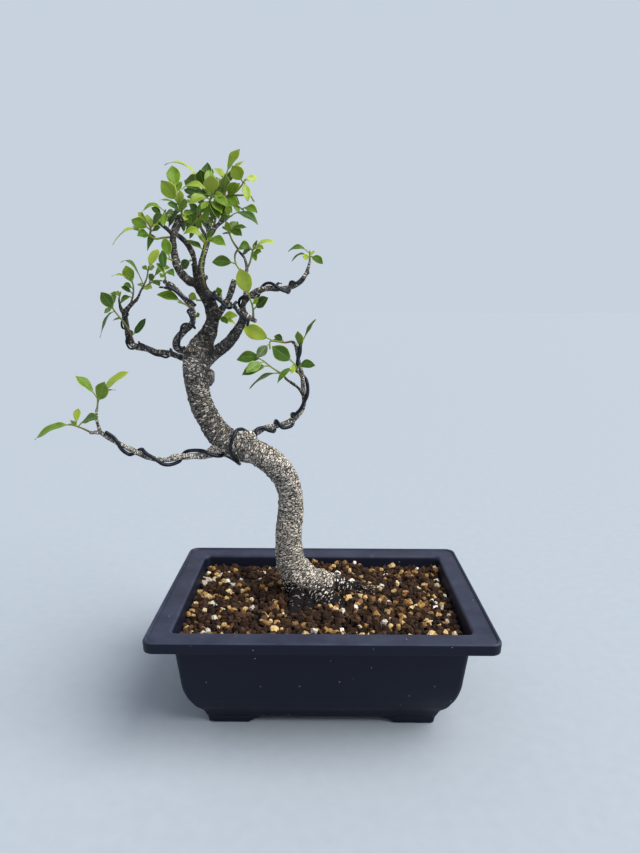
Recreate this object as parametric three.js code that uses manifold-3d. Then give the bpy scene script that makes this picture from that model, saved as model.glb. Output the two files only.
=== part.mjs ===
// A ficus bonsai in its training pot: pot, drain meshes, soil, wood, training wires and leafy sprays.
// Millimetres, +Z up. Places are given from the middle of the pot's feet, with the viewer at -Y.
import * as THREE from 'three';
import { mergeVertices } from 'three/addons/utils/BufferGeometryUtils.js';
import Module from 'manifold-3d';

const wasm = await Module();
wasm.setup();

// Driving dimensions
const GAP = 0.3;
const POT_WIDTH = 267;
const POT_DEPTH = 190;
const RIM_HEIGHT = 92;
const RIM_DROP = 8;
const LIP_RISE = 1.1;
const LIP_WIDTH = 2.8;
const LIP_EASE = 0.85;
const RIM_WIDTH = 17;
const RIM_EASE = 1.2;
const RIM_CORNER = 8;
const CORNER_TAPER = 0.15;
const LEAST_CORNER = 3;
const CORNER_POINTS = 4;
const SKIRT_BATTER = 0.4;
const THROAT = 4;
const WALL = 2.2;
const FOOT_INSET = 41;
const FOOT_HEIGHT = 9;
const FOOT_DRAFT = 1.3;
const FOOT_WALL = 5;
const FOOT_LENGTH = 33;
const SIDE_FOOT_LENGTH = 25;
const ARCH_RISE = 5.5;
const ARCH_SLOPE = 14;
const FLOOR_UNDER = 7;
const FLOOR_TOP = 10;
const DRAIN_RADIUS = 11;
const DRAIN_SPREAD = 52;
const DRAIN_SIDES = 16;
const MESH_SIDE = 30;
const MESH_THICK = 1.2;
const MESH_HOLE = 6;
const MESH_PITCH = 8.5;
const MESH_ROW = 3;
const SOIL_LEVEL = 79.5;
const SOIL_MOUND = 5;
const SOIL_MOUND_REACH = 58;
const SOIL_CELL = 14.5;
const SOIL_ROUGH = 1.5;
const SOIL_SEED = 7;
const TRUNK_SIDES = 13;
const TRUNK_STEP = 13;
const THICK_LIMB = 8.5;
const ROOT_SIDES = 9;
const TWIG_SIDES = 6;
const THIN_TWIG = 2.3;
const TWIG_STEP = 10;
const BLADE_THICK = 1;
const STEM_RADIUS = 0.9;
const STEM_SIDES = 4;
const STEM_STEP = 11;
const STALK_RADIUS = 0.55;
const BLADE_FOLD = 0.2;
const SMALL_LEAF = 17;
const LARGE_LEAF = 22;
const LOWER_WIRE = 1.5;
const RIGHT_WIRE = 1.15;
const LEFT_WIRE = 0.9;
const WIRE_SIDES = 5;
const WIND_ANGLE = 46;
const WIND_LENGTH = 9;
const WIRE_CLEARANCE = 0.65;
// How far a cutting body runs past what it cuts
const SPARE = 2;

// Outer wall of the pot, from the floor up: how far inside the rim's edge, and the height
const WALL_LINE = [
  [39.5, FLOOR_UNDER], [36.5, 14], [32, 19.5], [29, 25], [26.2, 31], [23.4, 41], [22.2, 51], [20, 70],
];

// Wood: each limb is a line of [right, back, up, radius]
const TRUNK = [
  [-4, 8, 60, 16], [-8, 9, 80, 17.5], [-19.5, 11, 98, 15.4], [-27.5, 12, 112, 13.2], [-30, 12, 129, 11.7],
  [-28, 11, 156, 10.9], [-28, 9, 176, 10.4], [-31, 7, 189, 10.7], [-37, 4, 199, 11.1], [-46, 1, 209, 10.8],
  [-57, -1, 215, 10.5], [-68, -2, 219, 10.9], [-78, -2, 224, 10.7], [-88, -1, 232, 10], [-95, 1, 243, 9.7],
  [-103, 4, 260, 9.6], [-105, 5, 276, 10.4], [-105, 5, 292, 10.3], [-102, 5, 301, 9.7], [-97, 4, 309, 7.8],
  [-93, 3, 316, 6.4], [-90, 1, 325, 5.1], [-91, -2, 337, 5.2], [-96, -3, 347, 5],
];
const LIMBS = {
  rootRight: [
    [-14, 12, 94, 12.5], [2, 16, 90, 12], [16, 19, 84.5, 10.5], [28, 21, 79, 8.6], [35, 22, 75, 6],
    [41, 23, 69, 3.5],
  ],
  rootRightFront: [[-12, 5, 87, 14], [4, -3, 80, 12.5], [16, -8, 75, 9.5], [26, -10, 69, 6.5]],
  rootFront: [
    [-17, 4, 88, 11], [-21, -8, 84, 7.5], [-23, -17, 82, 5.5], [-25, -26, 80, 4.4], [-27, -32, 74, 3],
  ],
  rootBack: [[-18, 14, 90, 10], [-22, 28, 79, 6.5], [-25, 38, 70, 3.5]],
  knobRight: [[-99, 2, 276, 8], [-93, 1, 278, 6.8], [-90, 1, 278, 4.4]],
  cutScar: [[-64, -2, 222, 8], [-61, -5, 229, 6.4], [-60, -6, 232, 4.6]],
  leftLimb: [
    [-96, -3, 346, 4.6], [-101, -4, 353, 3.6], [-106, -7, 355, 3.3], [-113, -11, 363, 3.2],
    [-116, -12, 375, 2.9], [-117, -11, 387, 2.4], [-115, -10, 394, 2.8], [-112, -10, 401, 2.3],
  ],
  leftTwig: [[-116, -11, 386, 2], [-119, -13, 392, 1.6], [-126, -17, 398, 1.4]],
  middleLimb: [
    [-97, -2, 348, 4], [-101, 0, 357, 2.9], [-103, 2, 364, 2.1], [-104, 6, 371, 1.9], [-106, 9, 377, 2.2],
    [-109, 13, 382, 2.6], [-112, 15, 386, 2.3], [-116, 13, 390, 1.9], [-120, 9, 393, 1.5],
  ],
  crownStickLeft: [
    [-91, -4, 385, 1.7], [-94, 4, 390, 1.4], [-98, 13, 395, 1.3], [-101, 20, 400, 1.3], [-101, 21, 404, 1.2],
  ],
  rightLimb: [
    [-96, -2, 348, 4], [-97, -6, 359, 2.8], [-96, -8, 368, 2.6], [-93, -7, 379, 2.3], [-90, -5, 388, 2],
    [-84, -4, 397, 1.6], [-75, -6, 403, 1.4],
  ],
  rightStub: [[-96, -6, 357, 2.2], [-92, -9, 358, 2.4]],
  crownStickBack: [[-90, -5, 387, 1.5], [-92, 0, 398, 1.3], [-92, 2, 408, 1.1], [-91, 3, 415, 0.9]],
  crownStickFront: [[-88, -4, 391, 1.4], [-87, 6, 401, 1.2], [-86, 8, 409, 1], [-85, 9, 416, 0.8]],
  rightInner: [[-90, 0, 323, 4], [-83, -4, 331, 2.8], [-75, -9, 342, 2.6], [-70, -9, 356, 2]],
  rightBig: [
    [-100, 3, 288, 6.5], [-92, 0, 295, 5.4], [-76, -9, 307, 4.2], [-67, -16, 318, 3.7],
    [-63, -20, 325, 3.2], [-62, -22, 337, 2.2], [-56, -22, 344, 2.3], [-45, -20, 349, 2.3],
    [-34, -17, 349, 2], [-24, -14, 351, 1.9], [-17, -12, 356, 1.7], [-13, -11, 363, 1.3],
    [-11, -11, 370, 1.1],
  ],
  thornLeft: [[-36, -18, 349, 1.3], [-36, -19, 353, 1], [-32, -20, 353, 0.7]],
  thornMiddle: [[-27, -15, 350, 1.4], [-23, -17, 354, 1]],
  thornRight: [[-15, -11, 359, 1.2], [-11, -12, 362, 0.9]],
  crossTwig: [
    [-94, -4, 346, 3], [-86, -13, 344, 1.9], [-79, -21, 340, 1.7], [-71, -26, 337, 1.7],
    [-62, -27, 330, 1.8], [-52, -23, 324, 1.8],
  ],
  rearTwig: [
    [-62, -21, 340, 1.6], [-61, -13, 348, 1.3], [-61, -3, 364, 1.2], [-63, -1, 373, 1.1],
    [-68, 0, 379, 0.9],
  ],
  midLeft: [
    [-104, 4, 292, 6], [-117, 10, 293, 2.8], [-130, 18, 296, 2.3], [-144, 24, 297, 2.4],
    [-154, 28, 300, 2.9], [-162, 30, 301, 2.9], [-167, 31, 306, 2.5], [-169, 32, 317, 2.2],
    [-170, 31, 324, 2.6], [-170, 30, 331, 2.6],
  ],
  midLeftTwig: [[-170, 30, 329, 2.4], [-165, 29, 335, 1.7], [-158, 28, 341, 1.2], [-154, 28, 349, 1]],
  midLeftBud: [[-170, 30, 329, 2.2], [-173, 31, 333, 1.4], [-175, 33, 341, 1]],
  secondLeft: [
    [-101, 2, 299, 6], [-111, -7, 300, 2.9], [-116, -15, 303, 3], [-115, -19, 309, 2.9],
    [-108, -22, 317, 2.4], [-101, -26, 323, 2.2], [-101, -29, 335, 2], [-108, -32, 344, 1.9],
    [-115, -34, 351, 2.2], [-120, -35, 354, 1.5],
  ],
  lowLeft: [
    [-82, -4, 222, 6], [-96, -9, 215, 3.2], [-108, -12, 214, 2.5], [-120, -16, 214, 3],
    [-128, -17, 212, 2], [-142, -20, 215, 2], [-157, -22, 223, 2], [-169, -24, 230, 1.8],
    [-178, -25, 236, 1.6], [-186, -26, 236, 1.2],
  ],
  lowLeftRiser: [[-177, -25, 235, 1.5], [-179, -27, 247, 1.2], [-178, -28, 256, 1]],
  lowRight: [
    [-68, 0, 220, 6], [-60, 8, 228, 3.6], [-52, 14, 232, 2.4], [-37, 18, 235, 2.2], [-25, 20, 240, 2.1],
    [-17, 20, 250, 1.9], [-17, 17, 267, 1.7], [-18, 15, 279, 1.7], [-21, 13, 292, 1.6], [-23, 11, 304, 1.7],
    [-26, 11, 307, 1.3],
  ],
  lowRightTwig: [[-17, 18, 261, 1.5], [-21, 12, 268, 1.1], [-32, 4, 277, 1]],
};

// Training wires, with the radius of each. Where one winds on a limb it is given by shares of the limb's
// length and the angle there, in degrees from the side that faces the viewer. Elsewhere it has plain points.
const WIRES = {
  wire_lower_branches: [LOWER_WIRE, [
    ['lowLeft', [
      [0.9, 60], [0.83, 55], [0.79, 23], [0.76, -15], [0.72, -55], [0.68, -80], [0.645, -180], [0.61, -280],
      [0.575, -311], [0.535, -330], [0.49, -361], [0.455, -399], [0.42, -440], [0.37, -465], [0.33, -490],
      [0.3, -560], [0.26, -620], [0.2, -645], [0.16, -672], [0.13, -713], [0.1, -749], [0.07, -778],
    ]],
    [
      [-83, 1, 212], [-79, 9, 208], [-74, 8, 205], [-70, -1, 205], [-72, -12, 211], [-75, -15, 218],
      [-75, -15, 225], [-73, -13, 231], [-71, -9, 235], [-68, -2, 235], [-66, 7, 232], [-62, 15, 227],
      [-57, 12, 222], [-57, 4, 228], [-56, 6, 233],
    ],
    ['lowRight', [
      [0.198, -17], [0.227, 20], [0.26, 55], [0.28, 120], [0.295, 220], [0.305, 300], [0.325, 388],
      [0.348, 415], [0.382, 435], [0.41, 510], [0.435, 620], [0.46, 680], [0.515, 695], [0.575, 719],
      [0.615, 765], [0.65, 805], [0.69, 825], [0.72, 853], [0.77, 930], [0.827, 1042], [0.877, 1081],
      [0.915, 1117], [0.96, 1160],
    ]],
  ]],
  wire_right_branch: [RIGHT_WIRE, [
    ['rightBig', [
      [0.4, 80], [0.465, 167], [0.487, 209], [0.503, 243], [0.52, 275], [0.538, 309], [0.55, 339],
      [0.59, 430], [0.63, 530], [0.672, 608], [0.69, 640], [0.705, 669], [0.73, 710], [0.752, 741],
      [0.778, 771], [0.805, 870], [0.825, 1000], [0.84, 1060], [0.865, 1085], [0.9, 1100],
    ]],
  ]],
  wire_cross_twig: [RIGHT_WIRE, [
    ['crossTwig', [
      [0.06, -20], [0.12, 10], [0.18, 60], [0.22, 180], [0.26, 320], [0.35, 365], [0.48, 380], [0.56, 430],
      [0.6, 540], [0.64, 690], [0.72, 735], [0.8, 755], [0.88, 775],
    ]],
  ]],
  wire_mid_left_branch: [LEFT_WIRE, [
    ['midLeft', [
      [0.143, -13], [0.213, 25], [0.277, 50], [0.3, 90], [0.32, 180], [0.345, 270], [0.373, 313],
      [0.423, 322], [0.467, 341], [0.518, 371], [0.568, 398], [0.61, 415], [0.64, 470], [0.67, 560],
      [0.7, 660], [0.737, 690], [0.76, 724], [0.8, 800], [0.83, 900], [0.86, 1000], [0.885, 1020],
      [0.915, 1051], [0.937, 1094], [0.98, 1150],
    ]],
  ]],
  wire_second_left_branch: [LEFT_WIRE, [
    ['secondLeft', [
      [0.2, 60], [0.3, 45], [0.36, 35], [0.41, 5], [0.455, -32], [0.48, -90], [0.51, -180], [0.54, -270],
      [0.565, -335], [0.605, -370], [0.65, -400], [0.67, -460], [0.69, -560], [0.708, -650], [0.742, -668],
      [0.773, -694], [0.807, -711], [0.88, -725], [0.97, -745],
    ]],
  ]],
};

// Leafy sprays: stems are lines of [right, back, up]. A leaf is [stem share, length with its stalk, width,
// heading (0 right, 90 away), rise above level, arch as a share of the length, face (0 up, 90 to viewer)].
const SPRAYS = {
  spray_low_left_end: [{
    stem: [[-184, -26, 236], [-189, -27, 239], [-193, -28, 241], [-198, -29, 243]],
    leaves: [
      [0.9, 34, 12, -180, -20, 0.13, 26], [0.8, 15, 6, 93, 61, 0.1, 90], [0.7, 28, 10, -35, 19, 0.12, 44],
      [0.7, 8, 4, 180, 42, 0, 22],
    ],
  }],
  spray_low_left_top: [{
    stem: [[-178, -28, 254], [-177, -28, 261], [-177, -28, 264]],
    leaves: [
      [0.55, 24, 11, -45, 52, 0.02, 90], [1, 24, 9.5, 180, 47, 0.1, 19], [1, 33, 11, 0, 39, 0.1, 30],
      [1, 17, 6, 48, 17, 0.15, 0],
    ],
  }],
  spray_mid_left_shoot: [{
    stem: [
      [-163, 29, 305], [-165, 25, 314], [-168, 22, 321], [-172, 20, 327], [-176, 19, 333],
      [-177, 19, 337],
    ],
    leaves: [
      [0.8, 20, 10, -137, 54, 0.03, 64], [0.9, 19, 7.5, 105, 40, 0.05, 90],
      [0.9, 10, 4, -123, -25, 0.1, 87], [0.8, 26, 8, 180, -57, 0.25, 18],
      [0.6, 12, 4.5, 143, -8, 0.1, 40], [0.15, 20, 8, 0, 49, -0.06, 49],
    ],
  }],
  spray_mid_left_bud: [{
    stem: [[-175, 33, 341], [-174, 34, 345]],
    leaves: [[0.6, 5, 3.5, 180, 65, 0, 55], [0.6, 12, 4.5, 150, 11, 0.1, 42]],
  }],
  spray_mid_left_upper: [{
    stem: [[-164, 28, 336], [-161, 27, 344], [-160, 26, 351], [-161, 26, 356]],
    leaves: [
      [0.8, 20, 10, 138, 57, 0.03, 51], [0.85, 13, 5, -111, 46, 0.05, 46],
      [0.95, 18, 6, -180, 14, 0.2, 15], [0.65, 12, 4.5, -116, 21, 0.1, 69],
      [0.45, 14, 5.5, -121, 25, 0.1, 63], [0.3, 13, 5, -128, -21, 0.25, 65],
    ],
  }],
  spray_mid_left_inner: [
    {
      stem: [[-155, 28, 347], [-151, 26, 353], [-148, 24, 358], [-146, 23, 366]],
      leaves: [
        [0.9, 23, 9, 62, 54, 0.08, 35], [0.9, 10, 4, -104, 19, 0.1, 81], [0.9, 12, 5, -47, 12, 0.1, 71],
        [0.3, 26, 8, 180, 43, 0.36, 10], [0.2, 17, 6.5, -49, -4, 0.05, 55],
        [0.2, 11, 4.5, 125, 17, 0.1, 43],
      ],
    },
    {
      stem: [[-154, 28, 349], [-147, 25, 353], [-141, 22, 356], [-136, 21, 356]],
      leaves: [
        [0.45, 14, 5.5, -58, 34, 0.1, 90], [0.6, 20, 8, 0, 35, 0.28, 50], [0.6, 15, 6, -49, -13, 0.1, 36],
      ],
    },
  ],
  spray_second_left_tip: [{
    stem: [[-119, -35, 353], [-118, -36, 356], [-118, -38, 358]],
    leaves: [
      [1, 15, 6, -50, -6, 0.25, 52], [1, 9, 4.5, -99, -13, 0.1, 90], [1, 26, 7, 108, 48, 0.04, 90],
      [1, 16, 5, 128, 37, 0.03, 0],
    ],
  }],
  spray_second_left_side: [{
    stem: [[-101, -29, 334], [-105, -32, 337], [-108, -33, 338]],
    leaves: [[0.75, 21, 9, -180, 18, 0.12, 49]],
  }],
  spray_second_left_bud: [{
    stem: [[-101, -27, 326], [-97, -28, 328]],
    leaves: [[0.7, 8, 4, -53, 16, 0.05, 80]],
  }],
  spray_trunk_back: [{
    stem: [[-95, 0, 340], [-102, 5, 340]],
    leaves: [[0.95, 16, 7, 132, 15, 0.05, 85]],
  }],
  spray_trunk_right: [{
    stem: [[-88, 0, 326], [-83, -3, 326]],
    leaves: [[1, 14, 6.5, 0, 7, 0.12, 65], [0.8, 13, 5.5, -48, -18, 0.1, 60], [1, 13, 5, 0, -21, 0.1, 40]],
  }],
  spray_cross_twig: [{
    stem: [[-79, -21, 340], [-79, -22, 344]],
    leaves: [[0.9, 11, 5, -99, 34, 0, 84]],
  }],
  spray_right_low: [{
    stem: [[-54, -26, 326], [-54, -28, 334], [-55, -31, 339], [-56, -32, 342]],
    leaves: [
      [0.95, 26, 12, -114, 57, 0.02, 70], [0.4, 20, 8.5, -45, 28, 0.03, 73],
      [0.65, 11, 4.5, -55, 24, 0.05, 77],
    ],
  }],
  spray_right_twig: [
    {
      stem: [[-68, 0, 380], [-72, -2, 386], [-74, -4, 391], [-75, -4, 393]],
      leaves: [
        [1, 19, 7.5, -48, -15, 0.12, 61], [1, 15, 6, 0, 12, 0.12, 42], [0.8, 13, 5, -101, 48, 0.02, 65],
        [0.85, 17, 9, 68, 41, 0.03, 90], [0.9, 11, 4.5, 131, 33, 0.1, 31],
      ],
    },
    {
      stem: [[-68, 0, 380], [-70, -3, 376], [-70, -5, 372], [-69, -7, 368], [-67, -8, 365]],
      leaves: [[0.8, 19, 9, -180, 4, 0.1, 90]],
    },
  ],
  spray_right_cluster: [{
    stem: [[-62, -3, 363], [-59, -1, 369], [-58, 1, 373], [-57, 2, 378], [-56, 2, 381]],
    leaves: [
      [0.9, 15, 7, -134, -1, 0.28, 90], [0.8, 11, 4.5, 25, 66, 0.05, 14], [0.9, 14, 5.5, -46, 2, 0.15, 58],
      [0.8, 14, 5.5, -53, 0, 0.05, 76], [0.8, 11, 4.5, -62, -37, 0.1, 83], [1, 18, 6, 0, 11, 0.2, 39],
    ],
  }],
  spray_right_end: [{
    stem: [[-11, -11, 370], [-11, -11, 373], [-11, -11, 376]],
    leaves: [
      [1, 17, 6.5, 180, 4, 0.26, 38], [0.5, 15, 5, 180, -14, 0.3, 25], [0.5, 9, 5, -126, 2, 0, 90],
      [0.6, 10, 4, 69, 33, 0, 0], [0.6, 15, 6.5, -41, -24, 0.12, 67],
    ],
  }],
  spray_low_right_top: [{
    stem: [[-26, 11, 307], [-32, 10, 306], [-38, 8, 307], [-44, 7, 307], [-44, 6, 303]],
    leaves: [
      [0.7, 28, 12.5, 180, 24, 0.02, 84], [0.3, 10, 5, 180, 13, 0.05, 22],
      [0.28, 10, 6, -180, 32, 0.14, 84], [0.9, 18, 8.5, -134, -38, 0.05, 90],
    ],
  }],
  spray_low_right_outer: [{
    stem: [[-21, 13, 296], [-19, 16, 300], [-18, 16, 305], [-17, 17, 308]],
    leaves: [[0.4, 19, 7.5, -100, 56, 0, 19], [0.85, 22, 7, 0, 59, 0.08, 13]],
  }],
  spray_low_right_mid: [{
    stem: [[-18, 14, 276], [-22, 8, 284], [-24, 6, 289], [-26, 6, 291]],
    leaves: [
      [0.85, 25, 13, -152, 36, 0.02, 83], [0.9, 10, 5, -103, -59, 0, 88], [0.6, 18, 7.5, -26, 10, 0.16, 84],
      [0.45, 24, 7, -137, -22, 0.25, 20],
    ],
  }],
  spray_low_right_twig: [{
    stem: [[-30, 5, 276], [-35, 3, 281], [-42, 1, 286], [-48, -1, 291]],
    leaves: [
      [1, 23, 10, 180, 3, 0.16, 81], [1, 20, 9, -139, -23, 0.08, 69], [0.75, 25, 10, -161, -16, 0.1, 50],
      [0.3, 29, 9, 180, -26, 0.15, 16],
    ],
  }],
  spray_crown_left_top: [{
    stem: [[-112, -10, 399], [-109, -13, 405], [-110, -15, 409], [-112, -15, 415], [-113, -13, 422]],
    leaves: [
      [1, 21, 11, 118, 68, 0, 30], [0.6, 21, 11, -129, 44, 0.02, 81], [0.35, 18, 7, -81, 53, 0, 31],
      [0.55, 15, 5, -180, 14, 0.1, 23], [0.35, 15, 6, -123, 16, 0.1, 69], [0.3, 16, 6.5, -67, 35, 0, 19],
      [0.85, 14, 5.5, 72, 55, 0.05, 27], [0.4, 18, 7, 157, -47, 0.2, 53], [0.2, 14, 5.5, 60, 20, 0.1, 80],
    ],
  }],
  spray_crown_left_low: [
    {
      stem: [[-116, -11, 388], [-124, -15, 387], [-129, -17, 386], [-133, -18, 388], [-138, -18, 389]],
      leaves: [
        [0.55, 12, 5.5, 180, -49, 0.5, 80], [0.75, 17, 7.5, -112, -3, 0.12, 85],
        [1, 25, 8, -180, -18, 0.3, 23], [1, 10, 4, -180, 38, 0.05, 24],
      ],
    },
    {
      stem: [[-133, -18, 388], [-132, -19, 394], [-135, -20, 399], [-137, -20, 403]],
      leaves: [
        [0.25, 18, 8.5, -130, 20, 0.08, 88], [0.75, 9, 4.5, 159, 42, 0, 80],
        [0.3, 16, 6.5, 118, 48, 0.05, 0], [0.35, 18, 7, -42, 30, 0.1, 69],
        [0.35, 11, 4.5, 30, 33, 0.05, 85], [0.15, 11, 4.5, -27, 18, 0.1, 73],
      ],
    },
  ],
  spray_crown_left_twig: [{
    stem: [[-125, -17, 397], [-122, -20, 402], [-120, -22, 405]],
    leaves: [
      [1, 18, 7.5, 178, -3, 0.32, 37], [0.6, 12, 5, -125, 27, 0.1, 80], [0.7, 15, 6, -46, 1, 0.1, 63],
      [0.6, 12, 4, -44, -2, 0, 46],
    ],
  }],
  spray_left_limb_leaf: [{
    stem: [[-115, -12, 369], [-119, -17, 371]],
    leaves: [[0.9, 17, 8, 180, 77, 0, 46]],
  }],
  spray_middle_limb_leaf: [{
    stem: [[-105, 8, 371], [-108, 12, 372]],
    leaves: [[0.9, 17, 8, 134, -19, 0.05, 90]],
  }],
  spray_crown_back: [{
    stem: [[-101, 21, 403.7], [-101, 21, 410], [-99, 20, 417], [-97, 19, 425], [-96, 18, 430]],
    leaves: [
      [0.9, 26, 13, 143, 23, 0.08, 90], [0.9, 18, 11, -97, 49, 0.05, 58], [1, 25, 9, 89, 59, 0, 0],
      [1, 36, 11, 180, 27, 0.24, 15], [1, 21, 8, 73, 52, 0.05, 32], [1, 15, 7, 40, 31, 0.1, 90],
      [0.2, 18, 8, -148, -37, 0.1, 90], [0.25, 17, 7, 145, -4, 0.15, 72], [0.2, 17, 7, 140, -10, 0.1, 75],
      [0.65, 21, 8.5, 140, 10, 0.1, 65], [0.7, 14, 5.5, -110, 15, 0.1, 90], [0.2, 16, 6.5, 70, -40, 0.05, 60],
      [0.55, 15, 6, 125, -50, 0.05, 5], [0.1, 21, 8.5, 145, -30, 0.1, 55],
    ],
  }],
  spray_crown_middle: [{
    stem: [[-91, 3, 413], [-89, 0, 418], [-87, -2, 421]],
    leaves: [
      [0.8, 21, 12, -80, 37, 0, 0], [0.9, 24, 8, -180, 10, 0.26, 39], [0.9, 24, 9, 109, 62, 0.04, 0],
      [0.5, 19, 8, -146, -16, 0.22, 66], [0.5, 13, 5.5, -29, 10, 0.15, 64],
      [0.4, 18, 7, -139, -73, 0.04, 14], [0.9, 18, 8, -28, -33, 0.12, 45],
      [0.3, 16, 6.5, 85, -50, 0.05, 30],
    ],
  }],
  spray_crown_right: [
    {
      stem: [
        [-85, 9, 414], [-82, 8, 419], [-78, 6, 420], [-74, 3, 421], [-68, 0, 424], [-64, -2, 428],
        [-62, -2, 431],
      ],
      leaves: [
        [0.25, 19, 8.5, -67, 55, 0, 0], [0.35, 17, 8.5, -48, 33, 0, 90], [0.55, 12, 5, -43, 38, 0, 66],
        [0.95, 18, 11, -115, 34, 0, 89], [1, 13, 5.5, 40, 19, 0.05, 90], [1, 20, 7, -70, -57, 0.05, 0],
        [0.2, 13, 7, -109, -35, 0.15, 90], [0.1, 17, 6.5, 95, 40, 0.05, 90],
        [0.25, 20, 8, -45, -25, 0.15, 50],
      ],
    },
    {
      stem: [[-78, 6, 420], [-79, 11, 429], [-79, 13, 437]],
      leaves: [
        [0.45, 18, 7.5, 56, 58, 0.05, 25], [0.95, 25, 10, 0, 60, 0.13, 34], [1, 20, 6, 0, 37, 0.05, 30],
        [0.7, 13, 5.5, 155, 70, 0.05, 10], [0.85, 12, 5, -165, 45, 0.1, 45],
      ],
    },
    {
      stem: [[-74, 3, 421], [-64, 1, 421], [-58, 0, 421], [-56, 0, 418]],
      leaves: [],
    },
    {
      stem: [[-78, 6, 420], [-71, 0, 415], [-64, -3, 410]],
      leaves: [[1, 17, 7, -38, -14, 0.15, 63], [0.2, 12, 7, 49, -11, 0.12, 90]],
    },
  ],
  spray_crown_right_low: [{
    stem: [[-77, -5, 402], [-72, -9, 404]],
    leaves: [
      [0.9, 29, 10, -34, -17, 0.2, 29], [0.7, 10, 4.5, -97, 46, 0, 62], [0.8, 17, 6, 128, 28, 0.1, 20],
    ],
  }],
  spray_arch_shoot: [{
    stem: [
      [-94, -6, 348], [-94, -12, 355], [-95, -14, 362], [-95, -14, 368], [-93, -14, 375], [-92, -14, 380],
      [-91, -14, 383],
    ],
    leaves: [
      [1, 19, 8, 180, 18, 0.36, 49], [1, 21, 8.5, -35, -8, 0.2, 63], [0.85, 18, 7, 153, 28, 0.05, 29],
      [1, 9, 4, -42, 22, 0.1, 60],
    ],
  }],
};

// Half width of a leaf as a share of its greatest, at shares of its length; 0 is the stalk
const LARGE_OUTLINE = [[0, 0], [0.2, 0], [0.36, 0.78], [0.58, 1], [0.82, 0.62]];
const MEDIUM_OUTLINE = [[0, 0], [0.2, 0], [0.44, 0.94], [0.74, 0.82]];
const SMALL_OUTLINE = [[0, 0], [0.42, 0.92], [0.72, 0.84]];

const mix = THREE.MathUtils.lerp;
const UP = new THREE.Vector3(0, 0, 1);
const FRONT = new THREE.Vector3(0, -1, 0);

/** A closed skin over rings of equal count. The ends are closed flat, or the last one to a tip point. */
function skin(rings, tip = null) {
  const count = rings[0].length;
  const last = (rings.length - 1) * count;
  const places = [...rings.flat(), ...(tip ? [tip] : [])].flatMap((p) => p.toArray());
  const faces = [];
  for (let i = 0; i < last; i += count) {
    for (let j = 0; j < count; j += 1) {
      const a = i + j;
      const b = i + (j + 1) % count;
      faces.push(a, b, b + count, a, b + count, a + count);
    }
  }
  for (let j = 1; j + 1 < count; j += 1) faces.push(0, j + 1, j);
  if (tip) {
    for (let j = 0; j < count; j += 1) faces.push(last + j, last + (j + 1) % count, last + count);
  } else {
    for (let j = 1; j + 1 < count; j += 1) faces.push(last, last + j, last + j + 1);
  }
  const geometry = new THREE.BufferGeometry();
  geometry.setAttribute('position', new THREE.Float32BufferAttribute(places, 3));
  geometry.setIndex(faces);
  return geometry;
}

/** A geometry as a solid that can be joined and cut. */
function solid(geometry) {
  const plain = geometry.clone();
  plain.deleteAttribute('normal');
  plain.deleteAttribute('uv');
  const welded = mergeVertices(plain, 1e-5);
  return new wasm.Manifold(new wasm.Mesh({
    numProp: 3,
    vertProperties: new Float32Array(welded.attributes.position.array),
    triVerts: new Uint32Array(welded.index.array),
  }));
}

/** The first solid with all the others joined to it. */
function join(solids) {
  return solids.reduce((all, one) => all.add(one));
}

/** A named mesh of a finished solid. */
function piece(name, body, color, roughness, metalness = 0) {
  const { vertProperties, triVerts } = body.getMesh();
  const geometry = new THREE.BufferGeometry();
  geometry.setAttribute('position', new THREE.BufferAttribute(new Float32Array(vertProperties), 3));
  geometry.setIndex(new THREE.BufferAttribute(new Uint32Array(triVerts), 1));
  geometry.computeVertexNormals();
  const mesh = new THREE.Mesh(geometry, new THREE.MeshStandardMaterial({ color, roughness, metalness }));
  mesh.name = name;
  return mesh;
}

/** A rectangle with round corners, set in from the rim's outer edge, as a ring of points. */
function potRing(inset, height, corner = Math.max(RIM_CORNER - inset * CORNER_TAPER, LEAST_CORNER)) {
  const halfX = POT_WIDTH / 2 - inset - corner;
  const halfY = POT_DEPTH / 2 - inset - corner;
  const ring = [];
  for (const [quarter, sx, sy] of [[0, 1, 1], [1, -1, 1], [2, -1, -1], [3, 1, -1]]) {
    for (let k = 0; k < CORNER_POINTS; k += 1) {
      const angle = (quarter + k / (CORNER_POINTS - 1)) * Math.PI / 2;
      ring.push(new THREE.Vector3(
        sx * halfX + corner * Math.cos(angle),
        sy * halfY + corner * Math.sin(angle),
        height,
      ));
    }
  }
  return ring;
}

/** The pot's inner face, from the floor up to the rim, with a clearance inside it. */
function innerRings(clearance, top) {
  const rings = WALL_LINE.filter((_, i) => i % 2 === 0).map(([inset, height]) => potRing(
    inset + WALL + clearance,
    Math.max(height, FLOOR_TOP) + clearance + (height < FLOOR_TOP ? 0 : WALL / 2),
  ));
  rings.push(potRing(RIM_WIDTH + WALL + clearance, top));
  return rings;
}

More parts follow.
